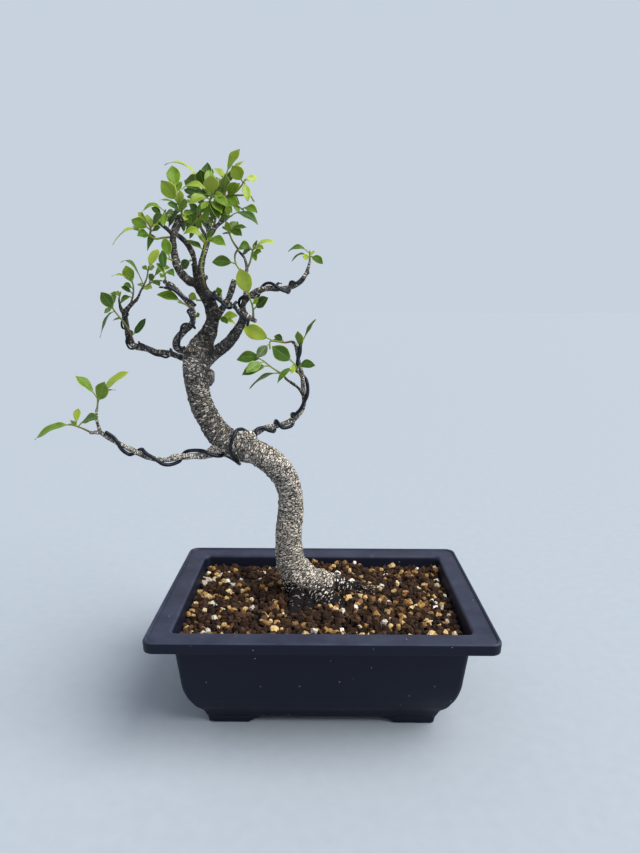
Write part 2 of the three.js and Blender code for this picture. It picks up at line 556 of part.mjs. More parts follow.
/** The pot: drawn walls, a flat rim with a raised lip and a turned-down skirt, and four corner feet. */
function makePot() {
  const outside = WALL_LINE.map(([inset, height]) => potRing(inset, height));
  const rimUnder = RIM_HEIGHT - WALL;
  const skirtUnder = RIM_HEIGHT - RIM_DROP;
  const lipTop = RIM_HEIGHT + LIP_RISE;
  const rim = [
    potRing(RIM_WIDTH + RIM_EASE, rimUnder), potRing(LIP_WIDTH, rimUnder),
    potRing(LIP_WIDTH, skirtUnder), potRing(SKIRT_BATTER, skirtUnder),
    potRing(0, RIM_HEIGHT), potRing(LIP_EASE, lipTop),
    potRing(LIP_WIDTH - LIP_EASE, lipTop), potRing(LIP_WIDTH, RIM_HEIGHT),
    potRing(RIM_WIDTH, RIM_HEIGHT), potRing(RIM_WIDTH + RIM_EASE, RIM_HEIGHT - RIM_EASE),
  ];
  const inside = innerRings(0, RIM_HEIGHT - THROAT).reverse();
  const shell = solid(skin([...outside, ...rim, ...inside]));
  const drains = [-1, 1].map((side) => {
    const bore = new THREE.CylinderGeometry(DRAIN_RADIUS, DRAIN_RADIUS, 2 * FLOOR_TOP, DRAIN_SIDES);
    bore.rotateX(Math.PI / 2);
    bore.translate(side * DRAIN_SPREAD, 0, FLOOR_TOP);
    return solid(bore);
  });
  return drains.reduce((pot, bore) => pot.subtract(bore), shell.add(makeFeet()));
}

/** The foot ring under the floor, hollow inside and cut through by the arches. */
function makeFeet() {
  const outer = skin([
    potRing(FOOT_INSET, 0, RIM_CORNER), potRing(FOOT_INSET - FOOT_DRAFT, FOOT_HEIGHT, RIM_CORNER),
  ]);
  const hollow = skin([-SPARE, FOOT_HEIGHT + SPARE].map((height) => (
    potRing(FOOT_INSET + FOOT_WALL, height, RIM_CORNER / 2)
  )));
  return archCuts().reduce((ring, cut) => ring.subtract(cut), solid(outer).subtract(solid(hollow)));
}

/** Long low arches through the foot ring, along and across, that leave the four corner feet. */
function archCuts() {
  const spans = [
    [POT_WIDTH, POT_DEPTH, FOOT_LENGTH, 0],
    [POT_DEPTH, POT_WIDTH, SIDE_FOOT_LENGTH, Math.PI / 2],
  ];
  return spans.map(([span, run, foot, turn]) => {
    const half = span / 2 - FOOT_INSET - foot;
    const outline = new THREE.Shape();
    outline.moveTo(-half, -SPARE);
    outline.quadraticCurveTo(-half + ARCH_SLOPE / 4, ARCH_RISE, -half + ARCH_SLOPE, ARCH_RISE);
    outline.lineTo(half - ARCH_SLOPE, ARCH_RISE);
    outline.quadraticCurveTo(half - ARCH_SLOPE / 4, ARCH_RISE, half, -SPARE);
    const bar = new THREE.ExtrudeGeometry(outline, {
      depth: run, bevelEnabled: false, curveSegments: CORNER_POINTS,
    });
    bar.translate(0, 0, -run / 2);
    bar.rotateX(Math.PI / 2);
    bar.rotateZ(turn);
    return solid(bar);
  });
}

/** A square of plastic mesh that lies over a drain hole, under the soil. */
function makeDrainMesh(side, grow = 0) {
  const reach = MESH_SIDE + 2 * grow;
  const place = [side * DRAIN_SPREAD, 0, FLOOR_TOP + GAP + MESH_THICK / 2];
  let sheet = solid(new THREE.BoxGeometry(reach, reach, MESH_THICK + 2 * grow).translate(...place));
  if (grow) return sheet;
  for (let i = 0; i < MESH_ROW; i += 1) {
    for (let j = 0; j < MESH_ROW; j += 1) {
      const hole = new THREE.BoxGeometry(MESH_HOLE, MESH_HOLE, 2 * MESH_THICK).translate(...place);
      hole.translate((i - (MESH_ROW - 1) / 2) * MESH_PITCH, (j - (MESH_ROW - 1) / 2) * MESH_PITCH, 0);
      sheet = sheet.subtract(solid(hole));
    }
  }
  return sheet;
}

/** A repeatable random draw between 0 and 1: each state is a multiple of the last one plus a step. */
function seeded(seed) {
  const range = 2 ** 32;
  const factor = 1664525;
  const step = 1013904223;
  let state = seed;
  return () => {
    state = (state * factor + step) % range;
    return state / range;
  };
}

/** The soil: it fills the pot to a rough granular surface, mounded a little towards the trunk. */
function makeSoil(woodRoom) {
  const draw = seeded(SOIL_SEED);
  const columns = Math.ceil((POT_WIDTH - 2 * RIM_WIDTH) / SOIL_CELL);
  const rows = Math.ceil((POT_DEPTH - 2 * RIM_WIDTH) / SOIL_CELL);
  const places = [];
  for (let j = 0; j <= rows; j += 1) {
    for (let i = 0; i <= columns; i += 1) {
      const x = (i - columns / 2 + (j % 2) / 2) * SOIL_CELL;
      const y = (j - rows / 2) * SOIL_CELL;
      const away = Math.hypot(x - TRUNK[1][0], y - TRUNK[1][1]) / SOIL_MOUND_REACH;
      const mound = SOIL_MOUND * Math.exp(-away * away);
      places.push(x, y, SOIL_LEVEL + mound + mix(-SOIL_ROUGH, SOIL_ROUGH, draw()));
    }
  }
  const top = new THREE.Vector3();
  const faces = [];
  const across = columns + 1;
  for (let j = 0; j < rows; j += 1) {
    for (let i = 0; i < columns; i += 1) {
      const a = j * across + i;
      faces.push(a, a + 1, a + across + 1, a, a + across + 1, a + across);
    }
  }
  const edge = [];
  for (let i = 0; i < columns; i += 1) edge.push(i);
  for (let j = 0; j < rows; j += 1) edge.push(j * across + columns);
  for (let i = columns; i > 0; i -= 1) edge.push(rows * across + i);
  for (let j = rows; j > 0; j -= 1) edge.push(j * across);
  const under = places.length / 3;
  edge.forEach((index) => places.push(...top.fromArray(places, index * 3).setZ(0).toArray()));
  const centre = places.length / 3;
  places.push(0, 0, 0);
  edge.forEach((index, k) => {
    const next = (k + 1) % edge.length;
    faces.push(index, under + k, under + next, index, under + next, edge[next]);
    faces.push(centre, under + next, under + k);
  });
  const bed = new THREE.BufferGeometry();
  bed.setAttribute('position', new THREE.Float32BufferAttribute(places, 3));
  bed.setIndex(faces);
  const filled = solid(bed).intersect(solid(skin(innerRings(GAP, RIM_HEIGHT))));
  return [-1, 1].reduce((soil, side) => soil.subtract(makeDrainMesh(side, GAP)), filled).subtract(woodRoom);
}

/** A smooth line through points, with the radius at any share of its length. */
class Limb {
  constructor(line) {
    this.curve = new THREE.CatmullRomCurve3(line.map(([x, y, z]) => new THREE.Vector3(x, y, z)));
    this.radii = line.map((point) => point[3] ?? STEM_RADIUS);
  }

  radius(share) {
    const place = this.curve.getUtoTmapping(share) * (this.radii.length - 1);
    const before = Math.min(Math.floor(place), this.radii.length - 2);
    return mix(this.radii[before], this.radii[before + 1], place - before);
  }

  /** The point, the way along, the way to the viewer and the way to the side, at a share of the length. */
  frame(share) {
    const along = this.curve.getTangentAt(share);
    const front = FRONT.clone().addScaledVector(along, -FRONT.dot(along)).normalize();
    return { at: this.curve.getPointAt(share), along, front, side: along.clone().cross(front) };
  }

  /** How many straight lengths the solid has. */
  steps(step) {
    return Math.max(2, Math.round(this.curve.getLength() / step));
  }

  /** The middle of the solid at a share of its length: straight between its rings. */
  core(share, step) {
    const place = share * this.steps(step);
    const before = Math.min(Math.floor(place), this.steps(step) - 1);
    const [start, end] = [before, before + 1].map((i) => this.curve.getPointAt(i / this.steps(step)));
    return start.lerp(end, place - before);
  }

  /** A round solid along the line, with its radius and both its ends grown by a clearance. */
  body(sides, step, grow = 0) {
    const steps = this.steps(step);
    const frames = this.curve.computeFrenetFrames(steps, false);
    const rings = [];
    for (let i = 0; i <= steps; i += 1) {
      const share = i / steps;
      const centre = this.curve.getPointAt(share);
      if (i === 0) centre.addScaledVector(frames.tangents[i], -grow);
      if (i === steps) centre.addScaledVector(frames.tangents[i], grow);
      rings.push(circle(centre, frames.normals[i], frames.binormals[i], this.radius(share) + grow, sides));
    }
    return solid(skin(rings));
  }
}

/** A ring of points round a centre. */
function circle(centre, across, over, radius, sides) {
  return Array.from({ length: sides }, (_, k) => {
    const angle = k / sides * 2 * Math.PI;
    return centre.clone()
      .addScaledVector(across, radius * Math.cos(angle))
      .addScaledVector(over, radius * Math.sin(angle));
  });
}

/** All limbs as one wood solid, grown by a clearance where room for it is wanted. */
function makeWood(limbs, grow = 0) {
  return join(Object.entries(limbs).map(([name, limb]) => {
    if (name === 'TRUNK') return limb.body(TRUNK_SIDES, TRUNK_STEP, grow);
    const start = limb.radii[0];
    const sides = start > THICK_LIMB ? ROOT_SIDES : start > THIN_TWIG ? TWIG_SIDES : TWIG_SIDES - 1;
    return limb.body(sides, TWIG_STEP, grow);
  }));
}

/** A line whose rings stand at its own points, which are close together where it turns fast. */
class WireLine extends THREE.CatmullRomCurve3 {
  getUtoTmapping(share) {
    return share;
  }
}

/** The line of one training wire: windings on limbs, just clear of the bark, and plain stretches between. */
function wireLine(limbs, radius, legs) {
  const points = legs.flatMap((leg) => {
    if (typeof leg[0] !== 'string') return leg.map(([x, y, z]) => new THREE.Vector3(x, y, z));
    const [name, winds] = leg;
    const limb = limbs[name];
    return winds.flatMap(([share, angle], i) => {
      const [before, turned] = winds[Math.max(i - 1, 0)];
      const reach = Math.abs(share - before) * limb.curve.getLength();
      const parts = [Math.abs(angle - turned) / WIND_ANGLE, reach / WIND_LENGTH];
      const count = Math.max(1, ...parts.map(Math.ceil));
      return Array.from({ length: count }, (_, k) => {
        const part = (k + 1) / count;
        return windPoint(limb, mix(before, share, part), mix(turned, angle, part), radius);
      });
    });
  });
  return new WireLine(points);
}

/** The middle of a wire that lies on a limb, at a share of its length and an angle round it. */
function windPoint(limb, share, angle, radius) {
  const { at, front, side } = limb.frame(share);
  const reach = limb.radius(share) + WIRE_CLEARANCE + radius;
  const turn = THREE.MathUtils.degToRad(angle);
  return at.addScaledVector(front, reach * Math.cos(turn)).addScaledVector(side, reach * Math.sin(turn));
}

/** A wire as a round bar along its line, grown by a clearance where room for it is wanted. */
function makeWire(line, radius, grow = 0) {
  const section = new THREE.Shape();
  section.absarc(0, 0, radius + grow, 0, 2 * Math.PI);
  const steps = line.points.length - 1;
  const bar = new THREE.ExtrudeGeometry(section, { steps, curveSegments: WIRE_SIDES / 2, extrudePath: line });
  return solid(bar);
}

/** A leaf with its stalk: an arched, slightly folded blade, widest past its middle, with a pointed tip. */
function makeLeaf(foot, [, length, width, heading, rise, arch, face]) {
  const [yaw, lift, roll] = [heading, rise, face].map(THREE.MathUtils.degToRad);
  const along = new THREE.Vector3(
    Math.cos(lift) * Math.cos(yaw),
    Math.cos(lift) * Math.sin(yaw),
    Math.sin(lift),
  );
  const normal = UP.clone().multiplyScalar(Math.cos(roll)).addScaledVector(FRONT, Math.sin(roll));
  normal.addScaledVector(along, -normal.dot(along)).normalize();
  const across = normal.clone().cross(along);
  const spine = (share) => foot.clone()
    .addScaledVector(along, share * length)
    .addScaledVector(UP, arch * length * 4 * share * (1 - share));
  const outline = length < SMALL_LEAF ? SMALL_OUTLINE : length < LARGE_LEAF ? MEDIUM_OUTLINE : LARGE_OUTLINE;
  const rings = outline.map(([share, spread]) => {
    const half = spread ? width / 2 * spread : STALK_RADIUS;
    const fold = spread ? half * BLADE_FOLD / 2 : 0;
    const thick = spread ? BLADE_THICK / 2 : STALK_RADIUS;
    return [[half, fold], [0, thick - fold], [-half, fold], [0, -thick - fold]].map(([side, up]) => (
      spine(share).addScaledVector(across, side).addScaledVector(normal, up)
    ));
  });
  return solid(skin(rings, spine(1)));
}

/** A spray: its stems and all their leaves joined, cut back from the wood and the wires. */
function makeSpray(stems, room) {
  const parts = stems.flatMap(({ stem, leaves }) => {
    const limb = new Limb(stem);
    const blades = leaves.map((leaf) => makeLeaf(limb.core(leaf[0], STEM_STEP), leaf));
    return [limb.body(STEM_SIDES, STEM_STEP), ...blades];
  });
  return join(parts).subtract(room);
}

const limbs = Object.fromEntries(
  Object.entries({ TRUNK, ...LIMBS }).map(([name, line]) => [name, new Limb(line)]),
);
const woodRoom = makeWood(limbs, GAP);
const wireLines = Object.entries(WIRES).map(([name, [radius, legs]]) => (
  [name, wireLine(limbs, radius, legs), radius]
));
const wireRoom = join(wireLines.map(([, line, radius]) => makeWire(line, radius, GAP)));
const sprayRoom = woodRoom.add(wireRoom);

const group = new THREE.Group();
group.add(piece('training_pot', makePot(), 0x23273a, 0.55));
group.add(piece('drain_mesh_left', makeDrainMesh(-1), 0x16181c, 0.6));
group.add(piece('drain_mesh_right', makeDrainMesh(1), 0x16181c, 0.6));
group.add(piece('soil_mix', makeSoil(woodRoom), 0x5a4330, 0.95));
group.add(piece('trunk_and_branches', makeWood(limbs).subtract(wireRoom), 0x7d786b, 0.9));
for (const [name, line, radius] of wireLines) {
  group.add(piece(name, makeWire(line, radius), 0x14181f, 0.35, 0.6));
}
for (const [name, stems] of Object.entries(SPRAYS)) {
  group.add(piece(name, makeSpray(stems, sprayRoom), 0x4f7f2b, 0.45));
}

// The origin goes under the middle of the whole outline.
const box = new THREE.Box3().setFromObject(group);
const middle = box.getCenter(new THREE.Vector3());
group.position.set(-middle.x, -middle.y, -box.min.z);
group.updateMatrixWorld(true);

export default group;
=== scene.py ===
"""A ficus bonsai in a plastic training pot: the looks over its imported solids.

Sizes are millimetres. Places are (right, back, up) from the middle of the pot's feet, with the viewer at
-Y, as in the source of the solids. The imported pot's box says where that middle lies in the frame.
"""

import logging
import math
from dataclasses import dataclass, field
from enum import Enum
from functools import partial
from itertools import product
from typing import Any, Callable

import bpy
import numpy as np
from mathutils import Matrix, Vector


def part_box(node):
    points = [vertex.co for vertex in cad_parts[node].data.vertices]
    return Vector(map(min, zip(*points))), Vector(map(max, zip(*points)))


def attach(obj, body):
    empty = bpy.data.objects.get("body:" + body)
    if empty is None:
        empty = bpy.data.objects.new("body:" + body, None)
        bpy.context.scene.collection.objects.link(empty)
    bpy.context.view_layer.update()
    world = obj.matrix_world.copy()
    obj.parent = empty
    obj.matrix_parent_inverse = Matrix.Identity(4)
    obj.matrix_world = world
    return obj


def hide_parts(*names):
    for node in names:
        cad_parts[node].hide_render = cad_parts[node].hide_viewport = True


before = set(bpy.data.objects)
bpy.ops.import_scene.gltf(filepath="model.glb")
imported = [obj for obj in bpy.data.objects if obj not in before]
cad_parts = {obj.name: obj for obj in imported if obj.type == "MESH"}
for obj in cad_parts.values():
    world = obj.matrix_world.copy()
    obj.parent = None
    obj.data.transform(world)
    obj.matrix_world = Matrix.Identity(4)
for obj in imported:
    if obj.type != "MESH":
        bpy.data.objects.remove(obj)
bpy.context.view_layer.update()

log = logging.getLogger("bonsai")

Array = np.ndarray
Line = list[tuple[float, ...]]

MM = 0.001
FRONT = np.array([0.0, -1.0, 0.0])
UP = np.array([0.0, 0.0, 1.0])
STEM_RADIUS = 0.8
LOWER_WIRE = 1.5
RIGHT_WIRE = 1.15
LEFT_WIRE = 0.9
ROUND_SHARE = 0.45
SLOPE_STEP = 0.2
TINY = 1e-9


class Tone(Enum):
    """A leaf's green, from 0 for the palest to 1 for the darkest: partly its age, with new leaves paler, and
    partly painted light, with darker greens for leaves that lie in shade and paler ones for lit leaves.
    """

    NEW = 0.0
    LIGHT = 0.25
    MID = 0.5
    DARK = 0.75
    DEEP = 1.0


NEW, LIGHT, MID, DARK, DEEP = Tone


@dataclass(frozen=True)
class Leaf:
    """One leaf: where it leaves its stem, its size and how it is turned.

    The share is of the stem's length, the length takes in the stalk, the arch is the height of its bow as a
    share of the length. The heading is 0 to the right and 90 away from the viewer, the rise is above level,
    and the face is 0 for a blade that faces up and 90 for one that faces the viewer, all in degrees.
    """

    share: float
    length: float
    width: float
    heading: float
    rise: float
    arch: float
    face: float
    # The tone is partly the leaf's age and partly painted shade and light.
    tone: Tone


@dataclass(frozen=True)
class Stem:
    """A thin green or brown shoot, and the leaves on it as rows of a leaf's fields."""

    line: Line
    leaves: list[tuple[float | Tone, ...]]


@dataclass(frozen=True)
class Limb:
    """A root or branch: its line of (right, back, up, radius), and how pale its bark is along it.

    The tones are (share of the length, 0 for dark to 1 for pale).
    """

    line: Line
    tones: Line


@dataclass(frozen=True)
class Winding:
    """A stretch of wire wound on a limb: shares of the limb's length, and degrees from its viewer's side."""

    limb: str
    turns: Line


@dataclass(frozen=True)
class Stretch:
    """A stretch of wire through points of its own."""

    line: Line


LIMBS: dict[str, Limb] = {
    "trunk": Limb([
        (-4, 8, 60, 16), (-8, 9, 80, 17.5), (-19.5, 11, 98, 15.4), (-27.5, 12, 112, 13.2),
        (-30, 12, 129, 11.7), (-28, 11, 156, 10.9), (-28, 9, 176, 10.4), (-31, 7, 189, 10.7),
        (-37, 4, 199, 11.1), (-46, 1, 209, 10.8), (-57, -1, 215, 10.5), (-68, -2, 219, 10.9),
        (-78, -2, 224, 10.7), (-88, -1, 232, 10), (-95, 1, 243, 9.7), (-103, 4, 260, 9.6),
        (-105, 5, 276, 10.4), (-105, 5, 292, 10.3), (-102, 5, 301, 9.7), (-97, 4, 309, 7.8),
        (-93, 3, 316, 6.4), (-90, 1, 325, 5.1), (-91, -2, 337, 5.2), (-96, -3, 347, 5),
    ], [
        (0, 0.86), (0.12, 0.86), (0.3, 0.86), (0.42, 0.83), (0.54, 0.72), (0.6, 0.48), (0.7, 0.46),
        (0.77, 0.62), (0.84, 0.72), (0.87, 0.3), (1, 0.14),
    ]),
    "root_right": Limb([
        (-14, 12, 94, 12.5), (2, 16, 90, 12), (16, 19, 84.5, 10.5), (28, 21, 79, 8.6), (35, 22, 75, 6),
        (41, 23, 69, 3.5),
    ], [(0, 0.95), (1, 0.55)]),
    "root_right_front": Limb([
        (-12, 5, 87, 14), (4, -3, 80, 12.5), (16, -8, 75, 9.5), (26, -10, 69, 6.5),
    ], [(0, 0.78), (1, 0.4)]),
    "root_front": Limb([
        (-17, 4, 88, 11), (-21, -8, 84, 7.5), (-23, -17, 82, 5.5), (-25, -26, 80, 4.4), (-27, -32, 74, 3),
    ], [(0, 0.6), (1, 0.38)]),
    "root_back": Limb([(-18, 14, 90, 10), (-22, 28, 79, 6.5), (-25, 38, 70, 3.5)], [(0, 0.4), (1, 0.2)]),
    "knob_right": Limb([(-99, 2, 276, 8), (-93, 1, 278, 6.8), (-90, 1, 278, 4.4)], [(0, 0.6), (1, 0.5)]),
    "cut_scar": Limb([(-64, -2, 222, 8), (-61, -5, 229, 6.4), (-60, -6, 232, 4.6)], [(0, 0.7), (1, 0.85)]),
    "left_limb": Limb([
        (-96, -3, 346, 4.6), (-101, -4, 353, 3.6), (-106, -7, 355, 3.3), (-113, -11, 363, 3.2),
        (-116, -12, 375, 2.9), (-117, -11, 387, 2.4), (-115, -10, 394, 2.8), (-112, -10, 401, 2.3),
    ], [(0, 0.18), (0.4, 0.34), (1, 0.5)]),
    "left_twig": Limb([
        (-116, -11, 386, 2), (-119, -13, 392, 1.6), (-126, -17, 398, 1.4),
    ], [(0, 0.3), (1, 0.45)]),
    "middle_limb": Limb([
        (-97, -2, 348, 4), (-101, 0, 357, 2.9), (-103, 2, 364, 2.1), (-104, 6, 371, 1.9),
        (-106, 9, 377, 2.2), (-109, 13, 382, 2.6), (-112, 15, 386, 2.3), (-116, 13, 390, 1.9),
        (-120, 9, 393, 1.5),
    ], [(0, 0.12), (0.5, 0.3), (1, 0.42)]),
    "crown_stick_left": Limb([
        (-91, -4, 385, 1.7), (-94, 4, 390, 1.4), (-98, 13, 395, 1.3), (-101, 20, 400, 1.3),
        (-101, 21, 404, 1.2),
    ], [(0, 0.6), (1, 0.8)]),
    "right_limb": Limb([
        (-96, -2, 348, 4), (-97, -6, 359, 2.8), (-96, -8, 368, 2.6), (-93, -7, 379, 2.3), (-90, -5, 388, 2),
        (-84, -4, 397, 1.6), (-75, -6, 403, 1.4),
    ], [(0, 0.25), (1, 0.55)]),
    "right_stub": Limb([(-96, -6, 357, 2.2), (-92, -9, 358, 2.4)], [(0, 0.2), (1, 0.45)]),
    "crown_stick_back": Limb([
        (-90, -5, 387, 1.5), (-92, 0, 398, 1.3), (-92, 2, 408, 1.1), (-91, 3, 415, 0.9),
    ], [(0, 0.6), (1, 0.8)]),
    "crown_stick_front": Limb([
        (-88, -4, 391, 1.4), (-87, 6, 401, 1.2), (-86, 8, 409, 1), (-85, 9, 416, 0.8),
    ], [(0, 0.6), (1, 0.8)]),
    "right_inner": Limb([
        (-90, 0, 323, 4), (-83, -4, 331, 2.8), (-75, -9, 342, 2.6), (-70, -9, 356, 2),
    ], [(0, 0.25), (1, 0.4)]),
    "right_big": Limb([
        (-100, 3, 288, 6.5), (-92, 0, 295, 5.4), (-76, -9, 307, 4.2), (-67, -16, 318, 3.7),
        (-63, -20, 325, 3.2), (-62, -22, 337, 2.2), (-56, -22, 344, 2.3), (-45, -20, 349, 2.3),
        (-34, -17, 349, 2), (-24, -14, 351, 1.9), (-17, -12, 356, 1.7), (-13, -11, 363, 1.3),
        (-11, -11, 370, 1.1),
    ], [(0, 0.62), (0.14, 0.35), (0.3, 0.28), (0.6, 0.36), (1, 0.55)]),
    "thorn_left": Limb([
        (-36, -18, 349, 1.3), (-36, -19, 353, 1), (-32, -20, 353, 0.7),
    ], [(0, 0.3), (1, 0.3)]),
    "thorn_middle": Limb([(-27, -15, 350, 1.4), (-23, -17, 354, 1)], [(0, 0.3), (1, 0.3)]),
    "thorn_right": Limb([(-15, -11, 359, 1.2), (-11, -12, 362, 0.9)], [(0, 0.4), (1, 0.4)]),
    "cross_twig": Limb([
        (-94, -4, 346, 3), (-86, -13, 344, 1.9), (-79, -21, 340, 1.7), (-71, -26, 337, 1.7),
        (-62, -27, 330, 1.8), (-52, -23, 324, 1.8),
    ], [(0, 0.3), (1, 0.7)]),
    "rear_twig": Limb([
        (-62, -21, 340, 1.6), (-61, -13, 348, 1.3), (-61, -3, 364, 1.2), (-63, -1, 373, 1.1),
        (-68, 0, 379, 0.9),
    ], [(0, 0.6), (1, 0.5)]),
    "mid_left": Limb([
        (-104, 4, 292, 6), (-117, 10, 293, 2.8), (-130, 18, 296, 2.3), (-144, 24, 297, 2.4),
        (-154, 28, 300, 2.9), (-162, 30, 301, 2.9), (-167, 31, 306, 2.5), (-169, 32, 317, 2.2),
        (-170, 31, 324, 2.6), (-170, 30, 331, 2.6),
    ], [(0, 0.6), (0.12, 0.35), (0.5, 0.42), (1, 0.42)]),
    "mid_left_twig": Limb([
        (-170, 30, 329, 2.4), (-165, 29, 335, 1.7), (-158, 28, 341, 1.2), (-154, 28, 349, 1),
    ], [(0, 0.35), (1, 0.3)]),
    "mid_left_bud": Limb([
        (-170, 30, 329, 2.2), (-173, 31, 333, 1.4), (-175, 33, 341, 1),
    ], [(0, 0.35), (1, 0.4)]),
    "second_left": Limb([
        (-101, 2, 299, 6), (-111, -7, 300, 2.9), (-116, -15, 303, 3), (-115, -19, 309, 2.9),
        (-108, -22, 317, 2.4), (-101, -26, 323, 2.2), (-101, -29, 335, 2), (-108, -32, 344, 1.9),
        (-115, -34, 351, 2.2), (-120, -35, 354, 1.5),
    ], [(0, 0.55), (0.15, 0.4), (0.5, 0.45), (1, 0.4)]),
    "low_left": Limb([
        (-82, -4, 222, 6), (-96, -9, 215, 3.2), (-108, -12, 214, 2.5), (-120, -16, 214, 3),
        (-128, -17, 212, 2), (-142, -20, 215, 2), (-157, -22, 223, 2), (-169, -24, 230, 1.8),
        (-178, -25, 236, 1.6), (-186, -26, 236, 1.2),
    ], [(0, 0.9), (0.4, 1.0), (1, 0.8)]),
    "low_left_riser": Limb([
        (-177, -25, 235, 1.5), (-179, -27, 247, 1.2), (-178, -28, 256, 1),
    ], [(0, 0.55), (0.5, 0.9), (1, 1.0)]),
    "low_right": Limb([
        (-68, 0, 220, 6), (-60, 8, 228, 3.6), (-52, 14, 232, 2.4), (-37, 18, 235, 2.2), (-25, 20, 240, 2.1),
        (-17, 20, 250, 1.9), (-17, 17, 267, 1.7), (-18, 15, 279, 1.7), (-21, 13, 292, 1.6),
        (-23, 11, 304, 1.7), (-26, 11, 307, 1.3),
    ], [(0, 0.65), (0.3, 0.65), (0.5, 0.85), (1, 0.6)]),
    "low_right_twig": Limb([
        (-17, 18, 261, 1.5), (-21, 12, 268, 1.1), (-32, 4, 277, 1),
    ], [(0, 0.35), (1, 0.35)]),
    "root_fill_left": Limb([
        (-14, -2, 84, 8), (-13, -11, 80, 7), (-12, -19, 75.5, 5.5),
    ], [(0, 0.45), (1, 0.3)]),
    "root_fill_right": Limb([
        (-4, -4, 80, 10), (0, -11, 77.5, 8.5), (3, -17, 73, 6),
    ], [(0, 0.45), (1, 0.3)]),
    "spur_left": Limb([
        (-114.4, -32, 347.8, 1.4), (-119, -33, 349, 1), (-124.4, -34, 349.5, 0.7),
    ], [(0, 0.35), (1, 0.45)]),
    "stub_middle": Limb([(-103.6, 5, 369, 1.3), (-106.4, 3, 367.8, 0.8)], [(0, 0.1), (1, 0.1)]),
    "scales_left": Limb([
        (-112, -10, 397, 2.3), (-114, -12, 402, 1.2), (-115, -13, 405, 0.6),
    ], [(0, 0.3), (1, 0.4)]),
    "scales_right": Limb([
        (-112, -10, 397, 2.2), (-109, -11, 402, 1.3), (-108, -12, 404, 0.7),
    ], [(0, 0.3), (1, 0.4)]),
}

# Training wires: the radius of each, and its stretches
WIRES: dict[str, tuple[float, list[Winding | Stretch]]] = {
    "wire_lower_branches": (LOWER_WIRE, [Winding("low_left", [
        (0.9, 60), (0.83, 55), (0.79, 23), (0.76, -15), (0.72, -55), (0.68, -80), (0.645, -180),
        (0.61, -280), (0.575, -311), (0.535, -330), (0.49, -361), (0.455, -399), (0.42, -440), (0.37, -465),
        (0.33, -490), (0.3, -560), (0.26, -620), (0.2, -645), (0.16, -672), (0.13, -713), (0.1, -749),
        (0.07, -778),
    ]), Stretch([
        (-83, 1, 212), (-79, 9, 208), (-74, 8, 205), (-70, -1, 205), (-72, -12, 211), (-75, -15, 218),
        (-75, -15, 225), (-73, -13, 231), (-71, -9, 235), (-68, -2, 235), (-66, 7, 232), (-62, 15, 227),
        (-57, 12, 222), (-57, 4, 228), (-56, 6, 233),
    ]), Winding("low_right", [
        (0.198, -17), (0.227, 20), (0.26, 55), (0.28, 120), (0.295, 220), (0.305, 300), (0.325, 388),
        (0.348, 415), (0.382, 435), (0.41, 510), (0.435, 620), (0.46, 680), (0.515, 695), (0.575, 719),
        (0.615, 765), (0.65, 805), (0.69, 825), (0.72, 853), (0.77, 930), (0.827, 1042), (0.877, 1081),
        (0.915, 1117), (0.96, 1160),
    ])]),
    "wire_right_branch": (RIGHT_WIRE, [Winding("right_big", [
        (0.4, 80), (0.465, 167), (0.487, 209), (0.503, 243), (0.52, 275), (0.538, 309), (0.55, 339),
        (0.59, 430), (0.63, 530), (0.672, 608), (0.69, 640), (0.705, 669), (0.73, 710), (0.752, 741),
        (0.778, 771), (0.805, 870), (0.825, 1000), (0.84, 1060), (0.865, 1085), (0.9, 1100),
    ])]),
    "wire_cross_twig": (RIGHT_WIRE, [Winding("cross_twig", [
        (0.06, -20), (0.12, 10), (0.18, 60), (0.22, 180), (0.26, 320), (0.35, 365), (0.48, 380),
        (0.56, 430), (0.6, 540), (0.64, 690), (0.72, 735), (0.8, 755), (0.88, 775),
    ])]),
    "wire_mid_left_branch": (LEFT_WIRE, [Winding("mid_left", [
        (0.143, -13), (0.213, 25), (0.277, 50), (0.3, 90), (0.32, 180), (0.345, 270), (0.373, 313),
        (0.423, 322), (0.467, 341), (0.518, 371), (0.568, 398), (0.61, 415), (0.64, 470), (0.67, 560),
        (0.7, 660), (0.737, 690), (0.76, 724), (0.8, 800), (0.83, 900), (0.86, 1000), (0.885, 1020),
        (0.915, 1051), (0.937, 1094), (0.98, 1150),
    ])]),
    "wire_second_left_branch": (LEFT_WIRE, [Winding("second_left", [
        (0.2, 60), (0.3, 45), (0.36, 35), (0.41, 5), (0.455, -32), (0.48, -90), (0.51, -180), (0.54, -270),
        (0.565, -335), (0.605, -370), (0.65, -400), (0.67, -460), (0.69, -560), (0.708, -650),
        (0.742, -668), (0.773, -694), (0.807, -711), (0.88, -725), (0.97, -745),
    ])]),
}

